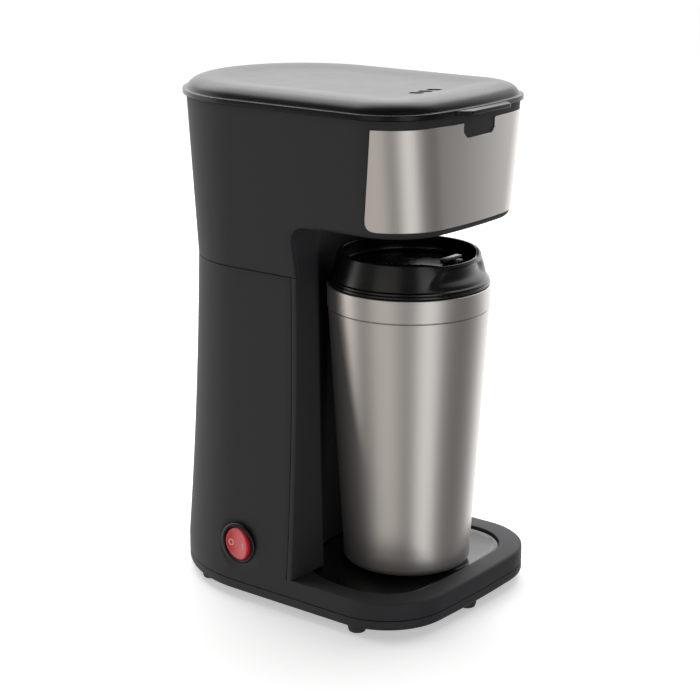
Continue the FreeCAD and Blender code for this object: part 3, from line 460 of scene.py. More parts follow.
def turned_tree():
    """Turns the profile, an open chain of edges with x as radius and z as level, about the Z axis."""
    name = "Turned piece"
    if name in bpy.data.node_groups:
        return bpy.data.node_groups[name]
    tree, start, end = new_tree(name, [("Segments", "NodeSocketInt", 96), ("Hub", "NodeSocketFloat", MM)])
    chain = tree.nodes.new("GeometryNodeMeshToCurve")
    place = tree.nodes.new("GeometryNodeSetPosition")
    position = tree.nodes.new("GeometryNodeInputPosition")
    split = tree.nodes.new("ShaderNodeSeparateXYZ")
    inward = added(tree, "ShaderNodeMath", operation="SUBTRACT")
    downward = added(tree, "ShaderNodeMath", {1: -1}, operation="MULTIPLY")
    join = tree.nodes.new("ShaderNodeCombineXYZ")
    circle = tree.nodes.new("GeometryNodeCurvePrimitiveCircle")
    upright = added(tree, "GeometryNodeSetCurveNormal", mode="Z_UP")
    sweep = tree.nodes.new("GeometryNodeCurveToMesh")
    weld = added(tree, "GeometryNodeMergeByDistance", {"Distance": MERGE})
    link = tree.links.new
    link(start.outputs["Geometry"], chain.inputs["Mesh"])
    link(position.outputs[0], split.inputs[0])
    link(split.outputs["X"], inward.inputs[0])
    link(start.outputs["Hub"], inward.inputs[1])
    link(split.outputs["Z"], downward.inputs[0])
    link(inward.outputs[0], join.inputs["X"])
    link(downward.outputs[0], join.inputs["Y"])
    link(chain.outputs[0], place.inputs["Geometry"])
    link(join.outputs[0], place.inputs["Position"])
    link(start.outputs["Segments"], circle.inputs["Resolution"])
    link(start.outputs["Hub"], circle.inputs["Radius"])
    link(circle.outputs[0], upright.inputs["Curve"])
    link(upright.outputs[0], sweep.inputs["Curve"])
    link(place.outputs[0], sweep.inputs["Profile Curve"])
    link(sweep.outputs[0], weld.inputs["Geometry"])
    return close_tree(tree, start, end, weld.outputs[0])


def row_tree():
    """Repeats the piece along a straight row that is centred on it."""
    name = "Row of pieces"
    if name in bpy.data.node_groups:
        return bpy.data.node_groups[name]
    tree, start, end = new_tree(name, [("Count", "NodeSocketInt", 3), ("Step", "NodeSocketVector", None)])
    row = tree.nodes.new("GeometryNodeMeshLine")
    scatter = tree.nodes.new("GeometryNodeInstanceOnPoints")
    link = tree.links.new
    link(start.outputs["Count"], row.inputs["Count"])
    link(start.outputs["Step"], row.inputs["Offset"])
    link(row.outputs[0], scatter.inputs["Points"])
    link(start.outputs["Geometry"], scatter.inputs["Instance"])
    return close_tree(tree, start, end, scatter.outputs[0])


def circle_tree():
    """Repeats the piece round the Z axis, each copy turned to face outwards."""
    name = "Circle of pieces"
    if name in bpy.data.node_groups:
        return bpy.data.node_groups[name]
    tree, start, end = new_tree(name, [("Count", "NodeSocketInt", 12)])
    points = tree.nodes.new("GeometryNodePoints")
    index = tree.nodes.new("GeometryNodeInputIndex")
    step = added(tree, "ShaderNodeMath", {0: 2 * math.pi}, operation="DIVIDE")
    angle = added(tree, "ShaderNodeMath", operation="MULTIPLY")
    turn = tree.nodes.new("ShaderNodeCombineXYZ")
    scatter = tree.nodes.new("GeometryNodeInstanceOnPoints")
    link = tree.links.new
    link(start.outputs["Count"], points.inputs["Count"])
    link(start.outputs["Count"], step.inputs[1])
    link(index.outputs[0], angle.inputs[0])
    link(step.outputs[0], angle.inputs[1])
    link(angle.outputs[0], turn.inputs["Z"])
    link(points.outputs[0], scatter.inputs["Points"])
    link(start.outputs["Geometry"], scatter.inputs["Instance"])
    link(turn.outputs[0], scatter.inputs["Rotation"])
    return close_tree(tree, start, end, scatter.outputs[0])


def places_tree():
    """Sets a copy of the chosen piece on every point of the geometry."""
    name = "Pieces on places"
    if name in bpy.data.node_groups:
        return bpy.data.node_groups[name]
    tree, start, end = new_tree(name, [("Piece", "NodeSocketObject", None)])
    info = tree.nodes.new("GeometryNodeObjectInfo")
    scatter = tree.nodes.new("GeometryNodeInstanceOnPoints")
    link = tree.links.new
    link(start.outputs["Piece"], info.inputs["Object"])
    link(start.outputs["Geometry"], scatter.inputs["Points"])
    link(info.outputs["Geometry"], scatter.inputs["Instance"])
    return close_tree(tree, start, end, scatter.outputs[0])


def through(piece, tree, **values):
    """Run the piece through a tree, with its inputs set by their identifiers, and apply it."""
    modifier = piece.modifiers.new(tree.name, "NODES")
    modifier.node_group = tree
    for item in tree.interface.items_tree:
        if item.in_out == "INPUT" and item.name in values:
            modifier[item.identifier] = values[item.name]
    return applied(piece)


def turned(name, corners, material, segments=96, y=0.0, sharp=35):
    """A turned piece from (radius, level, rounding) corners, run from the axis or round a loop."""
    loop = corners[0][0] > 0 and corners[-1][0] > 0
    profile = rounded(corners, closed=loop)
    points = [(radius, 0, level) for radius, level in profile]
    chain = [(index, index + 1) for index in range(len(points) - 1)]
    if loop:
        chain.append((len(points) - 1, 0))
    piece = new_piece(name, points, edges=chain)
    through(piece, turned_tree(), Segments=segments, Material=material)
    return moved(cleaned(piece, sharp), Matrix.Translation((0, y, 0)))


# ---------------------------------------------------------------- finishes
def shader(name, base, roughness, metallic=0.0, **extra):
    """A new material; gives it, its tree, its shader and its object coordinates."""
    material = bpy.data.materials.new(name)
    material.use_nodes = True
    tree = material.node_tree
    surface = tree.nodes["Principled BSDF"]
    surface.inputs["Base Color"].default_value = (*base, 1)
    surface.inputs["Roughness"].default_value = roughness
    surface.inputs["Metallic"].default_value = metallic
    for socket, value in extra.items():
        surface.inputs[socket.replace("_", " ")].default_value = value
    place = tree.nodes.new("ShaderNodeTexCoord")
    return material, tree, surface, place.outputs["Object"]


def noise(tree, place, scale, detail=3.0, stretch=None, offset=(0, 0, 0)):
    """A noise on object coordinates, stretched along the axes where stretch is given."""
    if stretch is not None:
        mapping = added(tree, "ShaderNodeMapping", {"Scale": stretch, "Location": offset})
        tree.links.new(place, mapping.inputs["Vector"])
        place = mapping.outputs[0]
    texture = added(tree, "ShaderNodeTexNoise", {"Scale": scale, "Detail": detail})
    tree.links.new(place, texture.inputs["Vector"])
    return texture.outputs["Fac"]


def spread(tree, factor, low, high):
    """Map a noise to values between low and high."""
    return ranged(tree, factor, (0.3, 0.7), (low, high), "LINEAR")


def ranged(tree, value, source, target, interpolation="SMOOTHSTEP"):
    """Map a value from the source range to the target range."""
    node = added(tree, "ShaderNodeMapRange", {"From Min": source[0], "From Max": source[1],
                 "To Min": target[0], "To Max": target[1]}, interpolation_type=interpolation)
    tree.links.new(value, node.inputs["Value"])
    return node.outputs["Result"]


def tinted(tree, surface, factor, first, second):
    """Vary the base colour between two colours."""
    mix = added(tree, "ShaderNodeMix", data_type="RGBA")
    colours = [socket for socket in mix.inputs if socket.type == "RGBA"]
    colours[0].default_value = (*first, 1)
    colours[1].default_value = (*second, 1)
    tree.links.new(factor, mix.inputs["Factor"])
    result = [socket for socket in mix.outputs if socket.type == "RGBA"][0]
    tree.links.new(result, surface.inputs["Base Color"])


def grained(tree, surface, height, strength, distance):
    """Raise the surface a little where the height is large."""
    bump = added(tree, "ShaderNodeBump", {"Strength": strength, "Distance": distance})
    tree.links.new(height, bump.inputs["Height"])
    tree.links.new(bump.outputs[0], surface.inputs["Normal"])


def scaled(base, factor):
    return tuple(min(1, channel * factor) for channel in base)


def moulded(name, base, roughness, grain=2600.0, depth=0.05, vary=0.05, **extra):
    """Moulded plastic or rubber: fine grain, slow colour drift and uneven gloss."""
    material, tree, surface, place = shader(name, base, roughness, **extra)
    tinted(tree, surface, noise(tree, place, 22.0), scaled(base, 0.9), scaled(base, 1.12))
    tree.links.new(spread(tree, noise(tree, place, 90.0), roughness - vary, roughness + vary),
                   surface.inputs["Roughness"])
    grained(tree, surface, noise(tree, place, grain, 2.0), depth, 0.1 * MM)
    return material


def brushed(name, base, roughness, **extra):
    """Steel brushed along level lines: streaks that are long round the piece and short up it."""
    material, tree, surface, place = shader(name, base, roughness, 1.0, Anisotropic=0.6,
                                            Anisotropic_Rotation=0.25, **extra)
    streaks = noise(tree, place, 1.0, 4.0, stretch=(9, 9, 2600))
    broad = noise(tree, place, 1.0, 2.0, stretch=(14, 14, 260), offset=(3, 1, 7))
    tinted(tree, surface, spread(tree, streaks, 0, 1), scaled(base, 0.93), scaled(base, 1.05))
    tree.links.new(spread(tree, broad, roughness - 0.035, roughness + 0.035), surface.inputs["Roughness"])
    grained(tree, surface, streaks, 0.12, 0.02 * MM)
    tangent = added(tree, "ShaderNodeTangent", direction_type="RADIAL", axis="Z")
    tree.links.new(tangent.outputs[0], surface.inputs["Tangent"])
    return material


def cast_metal(name, base, roughness):
    """Cast or plated metal with a fine blotchy surface."""
    material, tree, surface, place = shader(name, base, roughness, 1.0)
    blotches = noise(tree, place, 300.0, 5.0)
    tinted(tree, surface, blotches, scaled(base, 0.8), scaled(base, 1.1))
    tree.links.new(spread(tree, blotches, roughness - 0.1, roughness + 0.12), surface.inputs["Roughness"])
    grained(tree, surface, noise(tree, place, 1500.0), 0.25, 0.1 * MM)
    return material


def woven(name, base):
    """Fine nylon mesh: two crossed sets of threads."""
    material, tree, surface, place = shader(name, base, 0.5)
    threads = []
    for direction in ("X", "Z"):
        wave = added(tree, "ShaderNodeTexWave", {"Scale": 900.0}, bands_direction=direction)
        tree.links.new(place, wave.inputs["Vector"])
        threads.append(wave.outputs["Fac"])
    cross = added(tree, "ShaderNodeMath", operation="MAXIMUM")
    tree.links.new(threads[0], cross.inputs[0])
    tree.links.new(threads[1], cross.inputs[1])
    tinted(tree, surface, cross.outputs[0], scaled(base, 0.35), base)
    grained(tree, surface, cross.outputs[0], 0.5, 0.2 * MM)
    return material


def red_with_painted_highlight(name, finish):
    """Clear red plastic of the switch, with a painted highlight: its colour is lighter in its middle."""
    material, tree, surface, place = shader(name, finish.rocker_edge, 0.3, Coat_Weight=0.1,
                                            Coat_Roughness=0.08, Subsurface_Weight=0.25,
                                            Subsurface_Scale=0.002)
    centre = middle(ROCKER)
    mapping = added(tree, "ShaderNodeMapping", {"Location": -centre})
    tree.links.new(place, mapping.inputs["Vector"])
    reach = added(tree, "ShaderNodeVectorMath", operation="LENGTH")
    tree.links.new(mapping.outputs[0], reach.inputs[0])
    # Painted highlight: the red is mixed towards a lighter colour near the button's middle.
    highlight_mask = ranged(tree, reach.outputs["Value"], (2.5 * MM, 9.0 * MM), (1.0, 0.0))
    tinted(tree, surface, highlight_mask, tuple(finish.rocker_edge), tuple(finish.rocker_painted_highlight))
    grained(tree, surface, noise(tree, place, 500.0), 0.04, 0.1 * MM)
    return material


def finish_of(slot):
    """The material of a slot of the record, made when it is first asked for."""
    if slot in bpy.data.materials:
        return bpy.data.materials[slot]
    finish = bpy.context.scene.coffee_finish
    steel = tuple(finish.steel)
    makers = {
        "black_housing": lambda: moulded(slot, tuple(finish.housing), 0.38, Specular_IOR_Level=0.04),
        "black_cover": lambda: moulded(slot, tuple(finish.housing), 0.34, vary=0.012, depth=0.02,
                                       Specular_IOR_Level=0.3),
        "black_lid": lambda: moulded(slot, tuple(finish.housing), 0.27, depth=0.02),
        "tank_plastic": lambda: moulded(slot, (0.045, 0.046, 0.05), 0.32, depth=0.02),
        "tray_gloss": lambda: moulded(slot, tuple(finish.tray), 0.11, depth=0.01, vary=0.02,
                                      Coat_Weight=1.0, Coat_IOR=1.8, Coat_Roughness=0.08),
        "brushed_steel": lambda: brushed(slot, steel, 0.21),
        "red_rocker": lambda: red_with_painted_highlight(slot, finish),
        "rubber": lambda: moulded(slot, tuple(finish.rubber), 0.7, grain=1200.0, depth=0.2),
        "silicone": lambda: moulded(slot, (0.55, 0.54, 0.5), 0.5, Subsurface_Weight=0.3,
                                    Subsurface_Scale=0.003),
        "cast_aluminium": lambda: cast_metal(slot, (0.58, 0.58, 0.6), 0.45),
        "zinc_steel": lambda: cast_metal(slot, (0.62, 0.62, 0.6), 0.3),
        "filter_nylon": lambda: woven(slot, (0.5, 0.46, 0.38)),
        "white_ceramic": lambda: moulded(slot, tuple(finish.mark), 0.35, depth=0.02),
    }
    return makers[slot]()


def finished(piece, body, slot, *nodes, material=None):
    """Give the piece its finish, and set it in the frame."""
    piece.data.materials.clear()
    piece.data.materials.append(material or finish_of(slot))
    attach(piece, body)
    if nodes:
        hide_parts(*nodes)
    return piece


# ---------------------------------------------------------------- the housing's own outlines
def base_plan(s):
    return Plan(s.base_half_width, s.base_front, s.base_back, s.base_corner, s.base_bow)


def lerp(a, b, t):
    return a + (b - a) * t


def tower_plan(s, level):
    """Plan of the lower housing at a level: smooth through the base, the flare and the waist."""
    t = (level - DECK) / (WAIST - DECK)
    bend = (s.flare_level - DECK) / (WAIST - DECK)

    def through_three(low, mid, high):
        first = low * (t - bend) * (t - 1) / bend
        second = mid * t * (t - 1) / (bend * (bend - 1))
        return first + second + high * t * (t - bend) / (1 - bend)

    return Plan(through_three(s.base_half_width, s.flare_half_width, s.waist_half_width),
                through_three(s.base_front, s.base_front, s.waist_front),
                through_three(s.base_back, s.flare_back, s.waist_back),
                through_three(s.base_corner, s.head_corner, s.head_corner), s.base_bow)


def head_plan(s, level, inset=0.0):
    """Plan of the upper housing at a level: straight from the waist to the rim."""
    t = (level - WAIST) / (RIM - WAIST)
    return Plan(lerp(s.waist_half_width, s.top_half_width, t) - inset,
                lerp(s.waist_front, s.top_front, t) - inset,
                lerp(s.waist_back, s.top_back, t) - inset, s.head_corner - inset, s.head_bow)


def lid_plan(s, inset=0.0):
    out = s.lid_overhang - inset
    return Plan(s.top_half_width + out, s.top_front + out, s.top_back + out, s.head_corner + out, s.lid_bow)


def bay_front(s, level):
    """How far back the tower starts at a level."""
    return lerp(BAY_FRONT, -s.bay_high, (level - DECK) / (WAIST - DECK))


def arch_front(s, level):
    """The tower's front edge in the head, which runs forward under the roof."""
    rise = level - (ROOF - s.bay_arch)
    if rise <= 0:
        return bay_front(s, level)
    rise = min(rise, s.bay_arch)
    start = bay_front(s, ROOF - s.bay_arch)
    return start - s.bay_arch + math.sqrt(s.bay_arch ** 2 - rise ** 2)


def steps_between(low, high, count):
    return [lerp(low, high, k / count) for k in range(count + 1)]


# ---------------------------------------------------------------- operators: base and tower
def plan_rings(plan, profile):
    """Whole rings of a plan from (inset, level) pairs."""
    return [ring(full_half(shrunk(plan, inset)), level) for inset, level in profile]


class COFFEE_OT_base_plate(bpy.types.Operator):
    """Floor pan under the base, with wells for its screws and seats for its feet"""
    bl_idname = "coffee.base_plate"
    bl_label = "Base plate"

    def execute(self, context):
        s = context.scene.coffee_housing
        low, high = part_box("base_plate")
        profile = [(1.6 * MM, low.z), (1.1 * MM, low.z + 0.1 * MM), (0.35 * MM, low.z + 0.8 * MM),
                   (0, low.z + 1.7 * MM), (0, high.z - 0.5 * MM), (0.15 * MM, high.z - 0.15 * MM),
                   (0.5 * MM, high.z)]
        piece = stacked("base_plate", plan_rings(base_plan(s), profile))
        for node in FOOT_NODES:
            place = middle(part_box(node))
            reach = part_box(node)[1].x - place.x + 0.1 * MM
            combined(piece, round_bar("seat", place.x, place.y, reach, -MM, low.z + 0.9 * MM))
        for x, y in screw_places():
            combined(piece, round_bar("well", x, y, 3.4 * MM, -MM, low.z + 2.2 * MM))
        finished(piece, "root", "black_housing", "base_plate")
        return {"FINISHED"}


def screw_places():
    """Centres of the base screws, from the groups of their CAD points."""
    low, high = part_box("base_screws")
    points = [vertex.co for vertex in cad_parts["base_screws"].data.vertices]
    places = []
    for side in (-1, 1):
        for back in (False, True):
            group = [p for p in points if p.x * side > 0 and (p.y > middle((low, high)).y) == back]
            places.append(((min(p.x for p in group) + max(p.x for p in group)) / 2,
                           (min(p.y for p in group) + max(p.y for p in group)) / 2))
    return places


class COFFEE_OT_base_screws(bpy.types.Operator):
    """Cross-head screws that hold the base plate, set on their places by a tree"""
    bl_idname = "coffee.base_screws"
    bl_label = "Base screws"

    def execute(self, context):
        low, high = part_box("base_screws")
        head = 2.9 * MM
        top = low.z + 1.8 * MM
        screw = turned("screw", [(0, low.z, 0), (1.6 * MM, low.z, 0), (head, low.z + 0.9 * MM, 0.5 * MM),
                                 (head, top, 0.2 * MM), (1.5 * MM, top, 0.2 * MM),
                                 (1.5 * MM, high.z - 1.2 * MM, 0), (0, high.z, 0)],
                       finish_of("zinc_steel"), segments=24)
        for turn in (0, QUARTER):
            slot = prism("slot", rectangle(-1.7 * MM, 1.7 * MM, -0.25 * MM, 0.25 * MM, 0),
                         low.z - MM, low.z + 0.9 * MM, 0)
            combined(screw, moved(slot, Matrix.Rotation(turn, 4, "Z")))
        group = new_piece("base_screws", [(x, y, 0) for x, y in screw_places()], [])
        through(group, places_tree(), Piece=screw, Material=finish_of("zinc_steel"))
        discard(screw)
        finished(cleaned(group), "root", "zinc_steel", "base_screws")
        return {"FINISHED"}


class COFFEE_OT_feet(bpy.types.Operator):
    """Round rubber feet, set on their places by a tree"""
    bl_idname = "coffee.feet"
    bl_label = "Feet"

    def execute(self, context):
        low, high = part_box(FOOT_NODES[0])
        radius = (high.x - low.x) / 2
        foot = turned("foot", [(0, 0.4 * MM, 0), (0.55 * radius, 0.4 * MM, 0.2 * MM),
                               (0.62 * radius, 0, 0.2 * MM), (radius - 0.7 * MM, 0, 0.6 * MM),
                               (radius, 2.4 * MM, 1.2 * MM), (radius, high.z, 0), (0, high.z, 0)],
                      finish_of("rubber"), segments=40)
        places = [middle(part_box(node)) for node in FOOT_NODES]
        group = new_piece("feet", [(place.x, place.y, 0) for place in places], [])
        through(group, places_tree(), Piece=foot, Material=finish_of("rubber"))
        discard(foot)
        finished(cleaned(group), "root", "rubber", *FOOT_NODES)
        return {"FINISHED"}


class COFFEE_OT_lower_housing(bpy.types.Operator):
    """Base and tower in one moulding: chamfered deck, flared sides, tray recess and switch scoop"""
    bl_idname = "coffee.lower_housing"
    bl_label = "Lower housing"

    def execute(self, context):
        s = context.scene.coffee_housing
        back_off = s.bay_panel_wall + JOINT_GAP
        drum = s.recess_radius + back_off
        split = BAY_FRONT + back_off + s.edge
        base = base_plan(s)
        rings = [ring(full_half(shrunk(base, inset), split), level) for inset, level in (
            (s.edge, SEAM), (0.3 * s.edge, SEAM + 0.3 * s.edge), (0, SEAM + s.edge))]
        rounding = 0.35 * MM
        chamfer = s.deck_chamfer
        for inset, level in ((0, DECK - chamfer - rounding), (0.12 * rounding, DECK - chamfer),
                             (rounding, DECK - chamfer + rounding), (chamfer, DECK - 0.35 * rounding),
                             (chamfer + rounding, DECK)):
            inner = full_half(shrunk(base, inset), split)
            rings.append(ring(faded(full_half(base, split), inner, split, 14 * MM), level))
        for level in steps_between(DECK, WAIST - s.edge, 28):
            plan = tower_plan(s, level)
            rings.append(ring(tower_half(plan, bay_front(s, level) + back_off, s.edge, 3 * s.edge, 0, drum),
                              level))
        for inset, level in ((0.3 * s.edge, WAIST - 0.3 * s.edge), (s.edge, WAIST)):
            plan = shrunk(tower_plan(s, level), inset)
            rings.append(ring(tower_half(plan, bay_front(s, level) + back_off + inset, s.edge, 3 * s.edge, 0,
                                         drum), level))
        piece = stacked("lower_housing", rings)
        combined(piece, tray_cutter(s))
        combined(piece, switch_scoop(s))
        finished(piece, "root", "black_housing", "lower_housing")
        return {"FINISHED"}


def tray_plan(s, clearance):
    half_width = s.tray_half_width + clearance
    return Plan(half_width, s.tray_front + clearance, half_width + MUG_AXIS, s.base_corner - 10 * MM,
                s.base_bow)


def tray_cutter(s):
    """The space that the tray sits in, widened by a small chamfer at the deck."""
    plan = tray_plan(s, JOINT_GAP)
    floor = TRAY[0].z
    profile = [(0, floor), (0, DECK - 0.45 * MM), (-0.35 * MM, DECK), (-0.6 * MM, DECK + MM)]
    return stacked("tray_cutter", plan_rings(plan, profile))


def switch_centre():
    return Vector((SWITCH[0].x, middle(SWITCH).y, middle(SWITCH).z))


def switch_scoop(s):
    """A shallow ball-shaped scoop, square to the wall, that the switch sits in."""
    centre = switch_centre()
    step = MM
    width = tower_plan(s, centre.z).half_width
    slope = (tower_plan(s, centre.z + step).half_width - width) / step
    normal = Vector((-1, 0, -slope)).normalized()
    depth, rim = 2.0 * MM, 13.8 * MM
    radius = (rim ** 2 + depth ** 2) / (2 * depth)
    return ball("scoop", Vector((-width, centre.y, centre.z)) + normal * (radius - depth), radius, 160)


class COFFEE_OT_mug_tray(bpy.types.Operator):
    """Glossy plate that the mug stands on"""
    bl_idname = "coffee.mug_tray"
    bl_label = "Mug tray"

    def execute(self, context):
        s = context.scene.coffee_housing
        low, high = TRAY[0].z, TRAY[1].z
        profile = [(0, low), (0, high - 0.4 * MM), (0.12 * MM, high - 0.12 * MM), (0.4 * MM, high),
                   (2.6 * MM, high), (2.9 * MM, high - 0.1 * MM), (3.2 * MM, high - 0.3 * MM),
                   (3.6 * MM, high - 0.4 * MM)]
        finished(stacked("mug_tray", plan_rings(tray_plan(s, 0), profile)), "root", "tray_gloss", "mug_tray")
        return {"FINISHED"}


def bay_half(s, half_width, front):
    """Right half of the bay panel's section, a loop from its front middle to its back middle."""
    wall = s.bay_panel_wall
    edge = s.edge
    near, far = s.recess_radius, s.recess_radius + wall
    start = math.asin((front - MUG_AXIS) / near)
    corner = (near * math.cos(start), front)
    rounding = 2 * MM
    soft = start + rounding / near
    half = arc(0, MUG_AXIS, near, QUARTER, soft, 28)
    half += bent(half[-1], corner, (corner[0] + rounding, front), 6)[1:]
    half += line(half[-1], (half_width - edge, front), 4)[1:]
    half += arc(half_width - edge, front + edge, edge, -QUARTER, 0, 4)[1:]
    half += arc(half_width - edge, front + wall - edge, edge, 0, QUARTER, 4)
    start = math.asin((front + wall - MUG_AXIS) / far)
    half += line(half[-1], (far * math.cos(start), front + wall), 4)[1:]
    half += arc(0, MUG_AXIS, far, start, QUARTER, 28)[1:]
    return half


class COFFEE_OT_bay_panel(bpy.types.Operator):
    """Panel that closes the tower's front, hollowed behind the mug"""
    bl_idname = "coffee.bay_panel"
    bl_label = "Bay panel"

    def execute(self, context):
        s = context.scene.coffee_housing
        inset = s.wall + JOINT_GAP
        rings = []

        def add(half_width, front, level):
            half = bay_half(s, half_width, front)
            rings.append([(x, y, level) for x, y in half + [(-x, y) for x, y in reversed(half)]])

        for level in steps_between(DECK, WAIST, 24):
            add(tower_plan(s, level).half_width, bay_front(s, level), level)
        for level in steps_between(WAIST, ROOF, 6):
            add(head_plan(s, level).half_width - inset, bay_front(s, level), level)
        finished(stacked("bay_panel", rings), "root", "black_housing", "bay_panel")
        return {"FINISHED"}


# ---------------------------------------------------------------- operators: head
def head_rings(s):
    """Rings of the upper housing: tower, step out under the roof, head, rim, and down inside."""
    wall = s.wall
    drum = s.recess_radius + s.bay_panel_wall + JOINT_GAP
    depth = s.bay_panel_wall + 2 * JOINT_GAP
    floor = WAIST + JOINT_GAP
    split = arch_front(s, ROOF) + s.edge
    rings = []

    def tower(level, inset=0.0, front=None):
        edge = s.edge
        line_y = arch_front(s, level) if front is None else front
        rings.append(ring(tower_half(head_plan(s, level, inset), line_y, edge, wall, bay_depth(level, line_y),
                                     drum), level))

    def bay_depth(level, line_y):
        return bay_front(s, level) + depth - line_y

    tower(floor, s.edge)
    tower(floor + 0.3 * s.edge, 0.3 * s.edge)
    tower(floor + s.edge)
    for level in steps_between(floor + s.edge, ROOF - s.bay_arch, 8)[1:]:
        tower(level)
    for turn in steps_between(0, QUARTER, 10)[1:]:
        tower(ROOF - s.bay_arch * (1 - math.sin(turn)))
    curl = s.head_curl
    for turn in steps_between(0, QUARTER, 6):
        level = ROOF + curl * (1 - math.cos(turn))
        inset = curl * (1 - math.sin(turn))
        outer = full_half(head_plan(s, level), split)
        inner = full_half(head_plan(s, level, inset), split)
        rings.append(ring(faded(outer, inner, split, 16 * MM), level))
    for level in steps_between(ROOF + curl, RIM - s.edge, 12)[1:]:
        rings.append(ring(full_half(head_plan(s, level), split), level))
    for inset, level in ((0.3 * s.edge, RIM - 0.3 * s.edge), (s.edge, RIM), (wall - s.edge, RIM),
                         (wall, RIM - s.edge), (wall, ROOF + curl + wall)):
        rings.append(ring(full_half(head_plan(s, level, inset), split), level))
    inner_floor = ROOF + curl + wall
    for level in (inner_floor, floor + wall):
        front = bay_front(s, ROOF) + depth + wall
        rings.append(ring(tower_half(head_plan(s, level, wall), front, s.edge, wall, 0, drum + wall), level))
    return rings


def hinge_ears(s):
    """Two ears on the back of the rim that carry the lid's hinge pin."""
    pin_low, pin_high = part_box("lid_hinge_pin")
    pin = middle((pin_low, pin_high))
    ear_width = 4.5 * MM
    wall_y = s.top_back - 2.5 * MM
    outline = rounded([(wall_y, pin.z - 9 * MM, 0), (pin.y + 0.6 * MM, pin.z - 3 * MM, 2 * MM),
                       (pin.y + 2.3 * MM, pin.z, 1.6 * MM), (pin.y + 0.6 * MM, RIM - 0.3 * MM, 1.2 * MM),
                       (wall_y, RIM - 0.3 * MM, 0)], closed=True)
    ears = []
    for side in (-1, 1):
        outer = side * pin_high.x
        low, high = sorted((outer, outer - side * ear_width))
        ears.append(laid_across(prism("ear", outline, low, high, 0.4 * MM)))
    return ears


def laid_across(piece):
    """Turn an upright prism so that its outline's x and y become y and z, and its height runs along X."""
    return moved(piece, Matrix(((0, 0, 1, 0), (1, 0, 0, 0), (0, 1, 0, 0), (0, 0, 0, 1))))


class COFFEE_OT_upper_housing(bpy.types.Operator):
    """Head and upper tower in one moulding, open at the top, with the hinge ears behind"""
    bl_idname = "coffee.upper_housing"
    bl_label = "Upper housing"

    def execute(self, context):
        s = context.scene.coffee_housing
        piece = stacked("upper_housing", head_rings(s))
        for ear in hinge_ears(s):
            combined(piece, ear, "UNION")
        finished(piece, "root", "black_housing", "upper_housing")
        return {"FINISHED"}


class COFFEE_OT_head_underside(bpy.types.Operator):
    """Plate inside the bottom of the head, with the opening over the mug"""
    bl_idname = "coffee.head_underside"
    bl_label = "Head underside"

    def execute(self, context):
        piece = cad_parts["head_underside"]
        paint_node(piece, "black_housing")
        return {"FINISHED"}


def paint_node(node, slot):
    """Give a carried-over node the finish of its slot."""
    for index in range(max(1, len(node.material_slots))):
        if index >= len(node.material_slots):
            node.data.materials.append(finish_of(slot))
        node.material_slots[index].material = finish_of(slot)


def front_line(plan, reach_y, steps=40):
    """The plan's front from its middle round to reach_y, as (distance, point, normal) steps."""
    corner_x, corner_y, bow_y, lean = corners_of(plan)
    rows = []
    for turn in steps_between(-QUARTER, lean - QUARTER, steps):
        rows.append(((turn + QUARTER) * plan.bow, Vector((plan.bow * math.cos(turn),
                     bow_y + plan.bow * math.sin(turn))), Vector((math.cos(turn), math.sin(turn)))))
    start = lean * plan.bow
    last = math.asin((reach_y - corner_y) / plan.corner)
    for turn in steps_between(lean - QUARTER, last, steps)[1:]:
        rows.append((start + (turn - lean + QUARTER) * plan.corner,
                     Vector((corner_x + plan.corner * math.cos(turn),
                             corner_y + plan.corner * math.sin(turn))),
                     Vector((math.cos(turn), math.sin(turn)))))
    return rows


class COFFEE_OT_front_panel(bpy.types.Operator):
    """Brushed steel skin round the head's front, with its notch under the thumb tab"""
    bl_idname = "coffee.front_panel"
    bl_label = "Front panel"

    def execute(self, context):
        s = context.scene.coffee_housing
        low, high = PANEL[0].z, PANEL[1].z
        wall = 0.55 * MM
        reach = front_line(head_plan(s, high), -s.panel_wrap)[-1][0]
        notch, depth = 13.5 * MM, 7.6 * MM
        outline = rounded(panel_corners(s, reach, low, high, notch, depth), closed=True)
        piece = wrapped_sheet("front_panel", outline, s, wall)
        finished(piece, "root", "brushed_steel", "front_panel")
        return {"FINISHED"}


def panel_corners(s, reach, low, high, notch, depth):
    """Corners of the panel laid flat: along the front, and up."""
    slant = 3 * MM
    return [(-reach, low, s.panel_corner), (reach, low, s.panel_corner), (reach, high, 0.8 * MM),
            (notch, high, 0.4 * MM), (notch, high - depth + slant, 0.8 * MM),
            (notch - slant, high - depth, 0.8 * MM), (slant - notch, high - depth, 0.8 * MM),
            (-notch, high - depth + slant, 0.8 * MM), (-notch, high, 0.4 * MM), (-reach, high, 0.8 * MM)]


def densely(outline, spacing):
    """The closed outline with points no further apart than the spacing."""
    points = []
    for index, start in enumerate(outline):
        end = outline[(index + 1) % len(outline)]
        count = max(1, math.ceil(math.dist(start, end) / spacing))
        points += line(start, end, count)[:-1]
    return points


